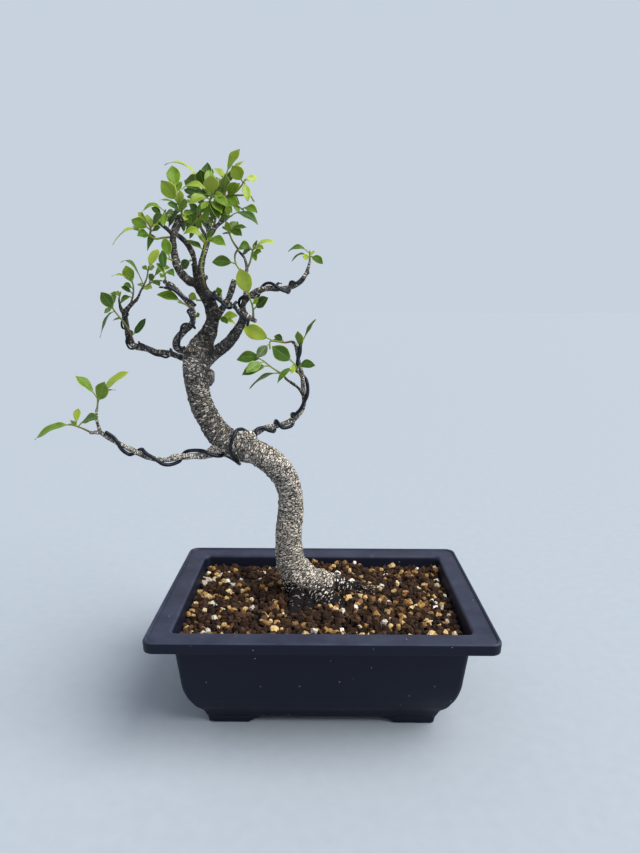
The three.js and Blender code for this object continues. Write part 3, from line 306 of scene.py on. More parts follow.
# Leafy sprays: the stems of each, with their leaves in the order of a leaf's fields
SPRAYS: dict[str, list[Stem]] = {
    "spray_low_left_end": [Stem([(-184, -26, 236), (-189, -27, 239), (-193, -28, 241), (-198, -29, 243)], [
        (0.9, 34, 12, -180, -20, 0.13, 26, MID), (0.8, 15, 6, 93, 61, 0.1, 90, NEW),
        (0.7, 28, 10, -35, 19, 0.12, 44, DARK), (0.7, 8, 4, 180, 42, 0, 22, DARK),
    ])],
    "spray_low_left_top": [Stem([(-178, -28, 254), (-177, -28, 261), (-177, -28, 264)], [
        (0.55, 24, 11, -45, 52, 0.02, 90, MID), (1, 24, 9.5, 180, 47, 0.1, 19, MID),
        (1, 33, 11, 0, 39, 0.1, 30, NEW), (1, 17, 6, 48, 17, 0.15, 0, DARK),
    ])],
    "spray_mid_left_shoot": [Stem([
        (-163, 29, 305), (-165, 25, 314), (-168, 22, 321), (-172, 20, 327), (-176, 19, 333),
        (-177, 19, 337),
    ], [
        (0.8, 20, 10, -137, 54, 0.03, 64, DARK), (0.9, 19, 7.5, 105, 40, 0.05, 90, DARK),
        (0.9, 10, 4, -123, -25, 0.1, 87, DARK), (0.8, 26, 8, 180, -57, 0.25, 18, DARK),
        (0.6, 12, 4.5, 143, -8, 0.1, 40, DARK), (0.15, 20, 8, 0, 49, -0.06, 49, DEEP),
    ])],
    "spray_mid_left_bud": [Stem([(-175, 33, 341), (-174, 34, 345)], [
        (0.6, 5, 3.5, 180, 65, 0, 55, NEW), (0.6, 12, 4.5, 150, 11, 0.1, 42, DARK),
    ])],
    "spray_mid_left_upper": [Stem([(-164, 28, 336), (-161, 27, 344), (-160, 26, 351), (-161, 26, 356)], [
        (0.8, 20, 10, 138, 57, 0.03, 51, LIGHT), (0.85, 13, 5, -111, 46, 0.05, 46, MID),
        (0.95, 18, 6, -180, 14, 0.2, 15, NEW), (0.65, 12, 4.5, -116, 21, 0.1, 69, DARK),
        (0.45, 14, 5.5, -121, 25, 0.1, 63, DARK), (0.3, 13, 5, -128, -21, 0.25, 65, DARK),
    ])],
    "spray_mid_left_inner": [Stem([(-155, 28, 347), (-151, 26, 353), (-148, 24, 358), (-146, 23, 366)], [
        (0.9, 23, 9, 62, 54, 0.08, 35, NEW), (0.9, 10, 4, -104, 19, 0.1, 81, LIGHT),
        (0.9, 12, 5, -47, 12, 0.1, 71, LIGHT), (0.3, 26, 8, 180, 43, 0.36, 10, DARK),
        (0.2, 17, 6.5, -49, -4, 0.05, 55, NEW), (0.2, 11, 4.5, 125, 17, 0.1, 43, MID),
    ]), Stem([(-154, 28, 349), (-147, 25, 353), (-141, 22, 356), (-136, 21, 356)], [
        (0.45, 14, 5.5, -58, 34, 0.1, 90, DARK), (0.6, 20, 8, 0, 35, 0.28, 50, MID),
        (0.6, 15, 6, -49, -13, 0.1, 36, DARK),
    ])],
    "spray_second_left_tip": [Stem([(-119, -35, 353), (-118, -36, 356), (-118, -38, 358)], [
        (1, 15, 6, -50, -6, 0.25, 52, DARK), (1, 9, 4.5, -99, -13, 0.1, 90, DARK),
        (1, 26, 7, 108, 48, 0.04, 90, DEEP), (1, 16, 5, 128, 37, 0.03, 0, DARK),
    ])],
    "spray_second_left_side": [Stem([(-101, -29, 334), (-105, -32, 337), (-108, -33, 338)], [
        (0.75, 21, 9, -180, 18, 0.12, 49, MID),
    ])],
    "spray_second_left_bud": [Stem([(-101, -27, 326), (-97, -28, 328)], [
        (0.7, 8, 4, -53, 16, 0.05, 80, MID),
    ])],
    "spray_trunk_back": [Stem([(-95, 0, 340), (-102, 5, 340)], [(0.95, 16, 7, 132, 15, 0.05, 85, LIGHT)])],
    "spray_trunk_right": [Stem([(-88, 0, 326), (-83, -3, 326)], [
        (1, 14, 6.5, 0, 7, 0.12, 65, LIGHT), (0.8, 13, 5.5, -48, -18, 0.1, 60, DARK),
        (1, 13, 5, 0, -21, 0.1, 40, NEW),
    ])],
    "spray_cross_twig": [Stem([(-79, -21, 340), (-79, -22, 344)], [(0.9, 11, 5, -99, 34, 0, 84, MID)])],
    "spray_right_low": [Stem([(-54, -26, 326), (-54, -28, 334), (-55, -31, 339), (-56, -32, 342)], [
        (0.95, 26, 12, -114, 57, 0.02, 70, NEW), (0.4, 20, 8.5, -45, 28, 0.03, 73, DEEP),
        (0.65, 11, 4.5, -55, 24, 0.05, 77, LIGHT),
    ])],
    "spray_right_twig": [Stem([(-68, 0, 380), (-72, -2, 386), (-74, -4, 391), (-75, -4, 393)], [
        (1, 19, 7.5, -48, -15, 0.12, 61, DARK), (1, 15, 6, 0, 12, 0.12, 42, DARK),
        (0.8, 13, 5, -101, 48, 0.02, 65, LIGHT), (0.85, 17, 9, 68, 41, 0.03, 90, DARK),
        (0.9, 11, 4.5, 131, 33, 0.1, 31, DARK), (0.9, 8, 3.5, 140, 5, 0, 40, DARK),
    ]), Stem([(-68, 0, 380), (-70, -3, 376), (-70, -5, 372), (-69, -7, 368), (-67, -8, 365)], [
        (0.8, 19, 9, -180, 4, 0.1, 90, DARK),
    ])],
    "spray_right_cluster": [Stem([
        (-62, -3, 363), (-59, -1, 369), (-58, 1, 373), (-57, 2, 378), (-56, 2, 381),
    ], [
        (0.9, 15, 7, -134, -1, 0.28, 90, DARK), (0.8, 11, 4.5, 25, 66, 0.05, 14, DARK),
        (0.9, 14, 5.5, -46, 2, 0.15, 58, LIGHT), (0.8, 14, 5.5, -53, 0, 0.05, 76, MID),
        (0.8, 11, 4.5, -62, -37, 0.1, 83, MID), (1, 18, 6, 0, 11, 0.2, 39, NEW),
        (0.9, 15, 6, 135, -15, 0.2, 70, DARK),
    ])],
    "spray_right_end": [Stem([(-11, -11, 370), (-11, -11, 373), (-11, -11, 376)], [
        (1, 17, 6.5, 180, 4, 0.26, 38, DARK), (0.5, 15, 5, 180, -14, 0.3, 25, DARK),
        (0.5, 9, 5, -126, 2, 0, 90, NEW), (0.6, 10, 4, 69, 33, 0, 0, LIGHT),
        (0.6, 15, 6.5, -41, -24, 0.12, 67, DARK),
    ])],
    "spray_low_right_top": [Stem([
        (-26, 11, 307), (-32, 10, 306), (-38, 8, 307), (-44, 7, 307), (-44, 6, 303),
    ], [
        (0.7, 28, 12.5, 180, 24, 0.02, 84, NEW), (0.3, 10, 5, 180, 13, 0.05, 22, DARK),
        (0.28, 10, 6, -180, 32, 0.14, 84, DEEP), (0.9, 18, 8.5, -134, -38, 0.05, 90, DEEP),
    ])],
    "spray_low_right_outer": [Stem([(-21, 13, 296), (-19, 16, 300), (-18, 16, 305), (-17, 17, 308)], [
        (0.4, 19, 7.5, -100, 56, 0, 19, MID), (0.85, 22, 7, 0, 59, 0.08, 13, DARK),
    ])],
    "spray_low_right_mid": [Stem([(-18, 14, 276), (-22, 8, 284), (-24, 6, 289), (-26, 6, 291)], [
        (0.85, 25, 13, -152, 36, 0.02, 83, DARK), (0.9, 10, 5, -103, -59, 0, 88, NEW),
        (0.6, 18, 7.5, -26, 10, 0.16, 84, DARK), (0.45, 24, 7, -137, -22, 0.25, 20, DARK),
    ])],
    "spray_low_right_twig": [Stem([(-30, 5, 276), (-35, 3, 281), (-42, 1, 286), (-48, -1, 291)], [
        (1, 23, 10, 180, 3, 0.16, 81, DARK), (1, 20, 9, -139, -23, 0.08, 69, MID),
        (0.75, 25, 10, -161, -16, 0.1, 50, DARK), (0.3, 29, 9, 180, -26, 0.15, 16, DARK),
    ])],
    "spray_crown_left_top": [Stem([
        (-112, -10, 399), (-109, -13, 405), (-110, -15, 409), (-112, -15, 415), (-113, -13, 422),
    ], [
        (1, 21, 11, 118, 68, 0, 30, MID), (0.6, 21, 11, -129, 44, 0.02, 81, LIGHT),
        (0.35, 18, 7, -81, 53, 0, 31, LIGHT), (0.55, 15, 5, -180, 14, 0.1, 23, MID),
        (0.35, 15, 6, -123, 16, 0.1, 69, DEEP), (0.3, 16, 6.5, -67, 35, 0, 19, DARK),
        (0.85, 14, 5.5, 72, 55, 0.05, 27, MID), (0.4, 18, 7, 157, -47, 0.2, 53, DEEP),
        (0.2, 14, 5.5, 60, 20, 0.1, 80, MID), (0.2, 13, 5, 60, -15, 0.1, 85, DARK),
        (0.1, 6, 2.5, 0, 35, 0, 65, NEW), (0.05, 7, 2.5, 0, 15, 0, 50, NEW),
        (0.25, 5, 2, 0, -55, 0, 40, LIGHT), (0.4, 12, 4.5, 75, 25, 0.1, 90, DARK),
        (0.35, 13, 5.5, 135, -5, 0.1, 80, DARK), (0.3, 14, 5.5, 90, -40, 0.1, 45, DARK),
        (0.35, 15, 6, 70, 45, 0.1, 25, MID), (0.3, 13, 5, 140, -40, 0.1, 65, DARK),
        (0.25, 15, 6, 95, -50, 0.08, 45, DARK),
    ])],
    "spray_crown_left_low": [Stem([
        (-116, -11, 388), (-124, -15, 387), (-129, -17, 386), (-133, -18, 388), (-138, -18, 389),
    ], [
        (0.55, 12, 5.5, 180, -49, 0.5, 80, DARK), (0.75, 17, 7.5, -112, -3, 0.12, 85, DARK),
        (1, 25, 8, -180, -18, 0.3, 23, NEW), (1, 10, 4, -180, 38, 0.05, 24, DARK),
    ]), Stem([(-133, -18, 388), (-132, -19, 394), (-135, -20, 399), (-137, -20, 403)], [
        (0.25, 18, 8.5, -130, 20, 0.08, 88, MID), (0.75, 9, 4.5, 159, 42, 0, 80, NEW),
        (0.3, 16, 6.5, 118, 48, 0.05, 0, LIGHT), (0.35, 18, 7, -42, 30, 0.1, 69, DARK),
        (0.35, 11, 4.5, 30, 33, 0.05, 85, NEW), (0.15, 11, 4.5, -27, 18, 0.1, 73, DARK),
    ])],
    "spray_crown_left_twig": [Stem([(-125, -17, 397), (-122, -20, 402), (-120, -22, 405)], [
        (1, 18, 7.5, 178, -3, 0.32, 37, MID), (0.6, 12, 5, -125, 27, 0.1, 80, DEEP),
        (0.7, 15, 6, -46, 1, 0.1, 63, DARK), (0.6, 12, 4, -44, -2, 0, 46, LIGHT),
        (0.35, 14, 5.5, 135, 0, 0.1, 75, DEEP), (0.75, 11, 4.5, 80, -20, 0.1, 85, DARK),
        (1, 15, 6, -85, -50, 0.1, 90, MID),
    ])],
    "spray_left_limb_leaf": [Stem([(-115, -12, 369), (-119, -17, 371)], [
        (0.9, 17, 8, 180, 77, 0, 46, MID),
    ])],
    "spray_middle_limb_leaf": [Stem([(-105, 8, 371), (-108, 12, 372)], [
        (0.9, 17, 8, 134, -19, 0.05, 90, DEEP),
    ])],
    "spray_crown_back": [Stem([
        (-101, 21, 403.7), (-101, 21, 410), (-99, 20, 417), (-97, 19, 425), (-96, 18, 430),
    ], [
        (0.9, 26, 13, 143, 23, 0.08, 90, DARK), (0.9, 18, 11, -97, 49, 0.05, 58, DARK),
        (1, 25, 9, 89, 59, 0, 0, DEEP), (1, 36, 11, 180, 27, 0.24, 15, NEW),
        (1, 21, 8, 73, 52, 0.05, 32, DARK), (1, 15, 7, 40, 31, 0.1, 90, DARK),
        (0.2, 18, 8, -148, -37, 0.1, 90, DARK), (0.25, 17, 7, 145, -4, 0.15, 72, DARK),
        (0.2, 17, 7, 140, -10, 0.1, 75, DARK), (0.65, 21, 8.5, 140, 10, 0.1, 65, DEEP),
        (0.7, 14, 5.5, -110, 15, 0.1, 90, DARK), (0.2, 16, 6.5, 70, -40, 0.05, 60, DEEP),
        (0.55, 15, 6, 125, -50, 0.05, 5, DARK), (0.1, 21, 8.5, 145, -30, 0.1, 55, DARK),
        (0, 6, 2.5, -180, 40, 0, 40, NEW), (0, 5, 2, 180, 5, 0, 70, NEW),
        (0.55, 16, 6.5, 65, 40, 0.1, 80, DEEP), (0.3, 15, 6, 60, 25, 0.1, 90, DEEP),
        (0.2, 13, 5.5, 70, -15, 0.1, 90, DARK), (0.2, 14, 5.5, 130, 5, 0.1, 85, DEEP),
        (0.5, 17, 7, 130, 20, 0.1, 60, DARK), (0.15, 15, 6, -120, 30, 0.1, 75, DARK),
        (0.2, 16, 6, 50, -35, 0.1, 60, DARK), (0.1, 18, 7, 135, -25, 0.1, 75, DARK),
        (0.4, 16, 6.5, 120, 40, 0.1, 15, DEEP), (0.35, 14, 5.5, 45, -10, 0.1, 80, DEEP),
        (0.15, 14, 5.5, -100, -60, 0.1, 0, MID), (0.65, 19, 7.5, 165, 25, 0.06, 60, DEEP),
        (0.05, 19, 8, 140, -10, 0.1, 70, DEEP), (0.05, 19, 7.5, 150, -50, 0.06, 50, DARK),
        (0.1, 17, 6.5, 55, -40, 0.08, 60, DEEP), (0.1, 17, 7, -40, -20, 0.1, 40, DARK),
    ])],
    "spray_crown_middle": [Stem([(-91, 3, 413), (-89, 0, 418), (-87, -2, 421)], [
        (0.8, 21, 12, -80, 37, 0, 0, NEW), (0.9, 24, 8, -180, 10, 0.26, 39, LIGHT),
        (0.9, 24, 9, 109, 62, 0.04, 0, MID), (0.5, 19, 8, -146, -16, 0.22, 66, LIGHT),
        (0.5, 13, 5.5, -29, 10, 0.15, 64, LIGHT), (0.4, 18, 7, -139, -73, 0.04, 14, MID),
        (0.9, 18, 8, -28, -33, 0.12, 45, MID), (0.3, 16, 6.5, 85, -50, 0.05, 30, DEEP),
        (0.8, 20, 8, 145, 15, 0.06, 40, DARK), (0.05, 15, 6, 130, -15, 0.1, 85, DARK),
        (0.35, 14, 5.5, 70, -35, 0.1, 65, DARK), (0.7, 17, 7, 120, 35, 0.05, 0, MID),
        (0.3, 17, 6.5, 145, -25, 0.1, 70, MID), (0.3, 16, 6.5, 80, -45, 0.05, 30, DARK),
        (0.4, 19, 7.5, -45, -35, 0.1, 15, MID), (0.25, 22, 9, -25, -10, 0.12, 40, MID),
        (0.4, 13, 5.5, -120, -35, 0.1, 70, LIGHT), (0.45, 20, 8, -50, -50, 0.08, 0, DARK),
    ])],
    "spray_crown_right": [Stem([
        (-85, 9, 414), (-82, 8, 419), (-78, 6, 420), (-74, 3, 421), (-68, 0, 424), (-64, -2, 428),
        (-62, -2, 431),
    ], [
        (0.25, 19, 8.5, -67, 55, 0, 0, DARK), (0.35, 17, 8.5, -48, 33, 0, 90, MID),
        (0.55, 12, 5, -43, 38, 0, 66, NEW), (0.95, 18, 11, -115, 34, 0, 89, LIGHT),
        (1, 13, 5.5, 40, 19, 0.05, 90, NEW), (1, 20, 7, -70, -57, 0.05, 0, LIGHT),
        (0.2, 13, 7, -109, -35, 0.15, 90, DARK), (0.1, 17, 6.5, 95, 40, 0.05, 90, DEEP),
        (0.25, 20, 8, -45, -25, 0.15, 50, MID), (0, 26, 10.5, 95, 60, 0, 90, DEEP),
        (0.2, 18, 7.5, -80, -60, 0.1, 90, MID), (0.35, 13, 5.5, 65, -15, 0.1, 90, DEEP),
        (0.1, 14, 5.5, 65, -45, 0.08, 65, DARK), (0.1, 17, 7, -35, -35, 0.1, 35, MID),
        (0.3, 15, 6, 135, 25, 0.1, 60, DARK), (0.15, 13, 5, -125, -45, 0.1, 50, DARK),
        (0.3, 15, 6, 75, -50, 0.08, 15, DARK),
    ]), Stem([(-78, 6, 420), (-79, 11, 429), (-79, 13, 437)], [
        (0.45, 18, 7.5, 56, 58, 0.05, 25, DEEP), (0.95, 25, 10, 0, 60, 0.13, 34, LIGHT),
        (1, 20, 6, 0, 37, 0.05, 30, NEW), (0.7, 13, 5.5, 155, 70, 0.05, 10, NEW),
        (0.85, 12, 5, -165, 45, 0.1, 45, LIGHT), (0.6, 15, 6, 120, 30, 0.05, 25, MID),
    ]), Stem([(-74, 3, 421), (-64, 1, 421), (-58, 0, 421), (-56, 0, 418)], []), Stem([
        (-78, 6, 420), (-71, 0, 415), (-64, -3, 410),
    ], [
        (1, 17, 7, -38, -14, 0.15, 63, MID), (0.2, 12, 7, 49, -11, 0.12, 90, DARK),
        (0.25, 13, 5, 115, -20, 0.1, 90, DARK), (0.4, 15, 6, -50, -45, 0.1, 0, MID),
    ])],
    "spray_crown_right_low": [Stem([(-77, -5, 402), (-72, -9, 404)], [
        (0.9, 29, 10, -34, -17, 0.2, 29, DEEP), (0.7, 10, 4.5, -97, 46, 0, 62, LIGHT),
        (0.8, 17, 6, 128, 28, 0.1, 20, DARK), (1, 13, 5.5, 150, -15, 0.1, 70, DARK),
    ])],
    "spray_arch_shoot": [Stem([
        (-94, -6, 348), (-94, -12, 355), (-95, -14, 362), (-95, -14, 368), (-93, -14, 375), (-92, -14, 380),
        (-91, -14, 383),
    ], [
        (1, 19, 8, 180, 18, 0.36, 49, LIGHT), (1, 21, 8.5, -35, -8, 0.2, 63, MID),
        (0.85, 18, 7, 153, 28, 0.05, 29, DARK), (1, 9, 4, -42, 22, 0.1, 60, LIGHT),
        (1, 19, 7.5, 65, 45, 0.05, 10, DEEP), (0.95, 15, 6, 125, 45, 0.05, 0, DARK),
    ])],
}


def linear(code: str) -> tuple[float, float, float, float]:
    """Turns an sRGB hex code such as "#1f2434" to linear colour with full alpha."""
    shares = (int(code[i:i + 2], 16) / 255 for i in (1, 3, 5))
    return (*(s / 12.92 if s <= 0.04045 else ((s + 0.055) / 1.055) ** 2.4 for s in shares), 1.0)


def unit(vectors: Array) -> Array:
    """Gives the vectors a length of one."""
    return vectors / np.maximum(np.linalg.norm(vectors, axis=-1, keepdims=True), TINY)


def ease(share: Array) -> Array:
    """Smooth step: 0 up to 0, 1 from 1 on, and 3x2 - 2x3 between."""
    share = np.clip(share, 0, 1)
    return share * share * (3 - 2 * share)


def lattice_noise(points: Array, seed: int, cells: int = 32) -> Array:
    """Smooth noise from -1 to 1: values drawn at whole-number places and blended between them.

    Args:
        points: Places, where one unit is one cell of the lattice.
        seed: Which set of values is drawn.
        cells: After how many cells the values repeat.

    Returns:
        One value for each point.
    """
    draws = np.random.default_rng(seed).uniform(-1, 1, (cells, cells, cells))
    base = np.floor(points).astype(int)
    part = ease(points - base)
    total = np.zeros(len(points))
    for corner in np.ndindex(2, 2, 2):
        weight = np.prod(np.where(corner, part, 1 - part), axis=1)
        total += weight * draws[tuple(((base + corner) % cells).T)]
    return total


def smooth_line(points: Array, places: Array) -> Array:
    """Places on the smooth curve through points, a spline weighed by the root of each chord.

    Between two points the curve is the cubic whose end slopes blend the chords on either side. The points
    past the ends mirror the first and the last chord.

    Args:
        points: The points that the curve goes through.
        places: Where on the curve, from 0 at the first point to 1 at the last, even from point to point.

    Returns:
        One point for each place.
    """
    ends = 2 * points[[0, -1]] - points[[1, -2]]
    around = np.vstack([ends[:1], points, ends[1:]])
    roots = np.sqrt(np.linalg.norm(np.diff(around, axis=0), axis=1))
    run = np.clip(places, 0, 1) * (len(points) - 1)
    first = np.minimum(run.astype(int), len(points) - 2)
    part = (run - first)[:, None]
    a, b, c, d = (around[first + k] for k in range(4))
    ra, rb, rc = (roots[first + k][:, None] for k in range(3))
    start = ((b - a) / ra - (c - a) / (ra + rb) + (c - b) / rb) * rb
    end = ((c - b) / rb - (d - b) / (rb + rc) + (d - c) / rc) * rb
    cubic = 2 * b - 2 * c + start + end
    square = -3 * b + 3 * c - 2 * start - end
    return b + part * (start + part * (square + part * cubic))


class Path:
    """A smooth line through points, measured along its length, with a radius at each place."""

    def __init__(self, line: Line, radius: float = STEM_RADIUS, samples: int = 400) -> None:
        """Measures the line.

        Args:
            line: The points, each with a radius or without.
            radius: The radius where the points have none.
            samples: How finely the length is measured.
        """
        table = np.array(line, float)
        self.points = table[:, :3]
        self.radii = table[:, 3] if table.shape[1] > 3 else np.full(len(table), radius)
        self.places = np.linspace(0, 1, samples)
        steps = np.diff(smooth_line(self.points, self.places), axis=0)
        self.run = np.concatenate([[0], np.cumsum(np.linalg.norm(steps, axis=1))])
        self.length = self.run[-1]

    def place(self, shares: Array) -> Array:
        """Turns shares of the length to places between the points."""
        return np.interp(np.asarray(shares) * self.length, self.run, self.places)

    def at(self, shares: Array) -> Array:
        """Gives the points at shares of the length."""
        return smooth_line(self.points, self.place(shares))

    def along(self, shares: Array) -> Array:
        """Gives the direction of the line at shares of the length."""
        nudge = SLOPE_STEP / self.length
        ahead, behind = (self.at(np.clip(shares + step, 0, 1)) for step in (nudge, -nudge))
        return unit(ahead - behind)

    def radius(self, shares: Array) -> Array:
        """Gives the radius at shares of the length, straight between the points."""
        return np.interp(self.place(shares) * (len(self.radii) - 1), np.arange(len(self.radii)), self.radii)

    def facing(self, shares: Array) -> tuple[Array, Array]:
        """Gives the way to the viewer and the way to the side, both square to the line."""
        along = self.along(shares)
        front = unit(FRONT - along * (along @ FRONT)[:, None])
        return front, np.cross(along, front)


def carried_frames(centres: Array) -> tuple[Array, Array]:
    """Two directions square to a line, carried along it without twist.

    At each ring the last direction is made square to the line's new direction, so it turns only as the
    line itself turns.

    Args:
        centres: The rings' middles.

    Returns:
        The two directions at each ring.
    """
    along = unit(np.gradient(centres, axis=0))
    first = np.empty_like(centres)
    start = np.eye(3)[np.argmin(np.abs(along[0]))]
    for ring, way in enumerate(along):
        start = unit(start - way * (start @ way))
        first[ring] = start
    return first, np.cross(along, first)


@dataclass
class Surface:
    """A skin in millimetres: its points, its faces and named values at its points."""

    points: Array
    faces: list[tuple[int, ...]]
    values: dict[str, Array] = field(default_factory=dict)


def gather(surfaces: list[Surface]) -> Surface:
    """Puts several skins with the same named values into one."""
    starts = np.cumsum([0] + [len(s.points) for s in surfaces])
    faces = [tuple(int(i + start) for i in f) for s, start in zip(surfaces, starts) for f in s.faces]
    values = {key: np.concatenate([s.values[key] for s in surfaces]) for key in surfaces[0].values}
    return Surface(np.concatenate([s.points for s in surfaces]), faces, values)


def ring_faces(rows: int, columns: int, ends: bool = True) -> list[tuple[int, ...]]:
    """Faces of a stack of closed rings, pointing outwards where the rings turn left round the way up.

    Args:
        rows: How many rings.
        columns: How many points a ring has.
        ends: Whether the first and the last ring are each closed with a face.

    Returns:
        The faces.
    """
    row, column = np.meshgrid(np.arange(rows - 1), np.arange(columns), indexing="ij")
    a = (row * columns + column).ravel()
    b = (row * columns + (column + 1) % columns).ravel()
    faces = [tuple(f) for f in np.stack([a, b, b + columns, a + columns], axis=1).tolist()]
    if ends:
        faces += [tuple(range(columns - 1, -1, -1)), tuple(range((rows - 1) * columns, rows * columns))]
    return faces


def tube(centres: Array, radii: Array, sides: int) -> Surface:
    """A round bar along a line: rings of the given radii, square to the line, with closed ends.

    Args:
        centres: The rings' middles.
        radii: The rings' radii.
        sides: How many points a ring has.

    Returns:
        The bar's skin.
    """
    first, second = carried_frames(centres)
    angle = np.arange(sides) * 2 * np.pi / sides
    spoke = first[:, None] * np.cos(angle)[:, None] + second[:, None] * np.sin(angle)[:, None]
    points = centres[:, None] + spoke * radii[:, None, None]
    return Surface(points.reshape(-1, 3), ring_faces(len(centres), sides))


def rounded(corners: Line, radius: float, steps: int = 4) -> Array:
    """A profile with its inner corners rounded, each by the curve that leaves and meets its two sides.

    Args:
        corners: The profile's corners, as (inset, height).
        radius: How far from a corner its round starts, at most ROUND_SHARE of the shorter side there.
        steps: How many points a round has.

    Returns:
        The profile's points.
    """
    table = np.array(corners, float)
    part = np.linspace(0, 1, steps)[:, None]
    out = [table[:1]]
    for before, corner, after in zip(table, table[1:], table[2:]):
        shorter = min(np.linalg.norm(before - corner), np.linalg.norm(after - corner))
        reach = min(radius, ROUND_SHARE * shorter)
        leave, meet = (corner + unit(other - corner) * reach for other in (before, after))
        out.append((1 - part) ** 2 * leave + 2 * part * (1 - part) * corner + part ** 2 * meet)
    return np.vstack([*out, table[-1:]])


POT_LOW, POT_HIGH = (np.array(corner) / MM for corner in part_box("training_pot"))
POT_MIDDLE = np.array([*(POT_LOW + POT_HIGH)[:2] / 2, POT_LOW[2]])


def keep_values(mesh: bpy.types.Mesh, values: dict[str, Array], smooth: bool = True) -> None:
    """Keeps named numbers or vectors on a mesh's points, and sets how its faces are shaded."""
    for key, value in values.items():
        kind, column = ("FLOAT_VECTOR", "vector") if value.ndim == 2 else ("FLOAT", "value")
        store = mesh.attributes.new(key, kind, "POINT")
        store.data.foreach_set(column, value.astype(np.float32).ravel())
    mesh.polygons.foreach_set("use_smooth", [smooth] * len(mesh.polygons))
    mesh.update()


def new_object(name: str, surface: Surface, smooth: bool = True) -> bpy.types.Object:
    """Puts a skin into the scene as an object that stands at the origin, in metres.

    Args:
        name: The object's name.
        surface: The skin, about the pot's middle.
        smooth: Whether its faces are shaded smooth.

    Returns:
        The object.
    """
    mesh = bpy.data.meshes.new(name)
    mesh.from_pydata((surface.points + POT_MIDDLE) * MM, [], surface.faces)
    keep_values(mesh, surface.values, smooth)
    thing = bpy.data.objects.new(name, mesh)
    bpy.context.scene.collection.objects.link(thing)
    return thing


def dress(thing: bpy.types.Object, finish: bpy.types.Material, slot: str, *nodes: str) -> None:
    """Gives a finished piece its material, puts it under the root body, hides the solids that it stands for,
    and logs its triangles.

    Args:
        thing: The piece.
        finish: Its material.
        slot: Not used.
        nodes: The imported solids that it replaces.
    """
    thing.data.materials.append(finish)
    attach(thing, "root")
    if nodes:
        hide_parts(*nodes)
    thing.data.calc_loop_triangles()
    log.info("%s: %d triangles, %s", thing.name, len(thing.data.loop_triangles), finish.name)


def settled(thing: bpy.types.Object) -> bpy.types.Object:
    """Applies a piece's modifiers to its mesh."""
    shape = thing.evaluated_get(bpy.context.evaluated_depsgraph_get())
    mesh = bpy.data.meshes.new_from_object(shape)
    thing.modifiers.clear()
    old, thing.data = thing.data, mesh
    bpy.data.meshes.remove(old)
    mesh.name = thing.name
    return thing


def feed(node: bpy.types.Node, inputs: dict[Any, Any]) -> None:
    """Sets a node's inputs.

    Args:
        node: The node.
        inputs: For each input, by name or number, a value, a hex code, or the socket or node that is linked
            to it. A node stands for its first output, and a Mix for its colour.
    """
    for key, value in inputs.items():
        if isinstance(value, bpy.types.Node):
            value = value.outputs[2 if value.bl_idname == "ShaderNodeMix" else 0]
        if isinstance(value, bpy.types.NodeSocket):
            node.id_data.links.new(value, node.inputs[key])
        else:
            node.inputs[key].default_value = linear(value) if isinstance(value, str) else value


def add_node(tree: bpy.types.NodeTree, kind: str, inputs: dict[Any, Any] | None = None, **own: Any) -> Any:
    """Adds a node with its settings and links.

    Args:
        tree: The node tree.
        kind: The node's type, without the word ShaderNode that it starts with.
        inputs: Its inputs, as feed takes them.
        own: The node's own settings. stops are a colour ramp's, as (place, hex code or grey share).

    Returns:
        The node.
    """
    node = tree.nodes.new(f"ShaderNode{kind}")
    stops = own.pop("stops", ())
    for key, value in own.items():
        setattr(node, key, value)
    for number, (place, shade) in enumerate(stops):
        elements = node.color_ramp.elements
        element = elements[number] if number < len(elements) else elements.new(1)
        element.position = place
        element.color = linear(shade) if isinstance(shade, str) else (shade, shade, shade, 1)
    feed(node, inputs or {})
    return node


def new_material(name: str, inputs: dict[Any, Any]) -> tuple[bpy.types.Material, Callable[..., Any], Any]:
    """Makes a material that has one shader.

    Args:
        name: The material's name.
        inputs: The shader's inputs, as feed takes them.

    Returns:
        The material, add_node for its tree, and its shader.
    """
    material = bpy.data.materials.new(name)
    material.use_nodes = True
    shader = material.node_tree.nodes["Principled BSDF"]
    feed(shader, inputs)
    return material, partial(add_node, material.node_tree), shader


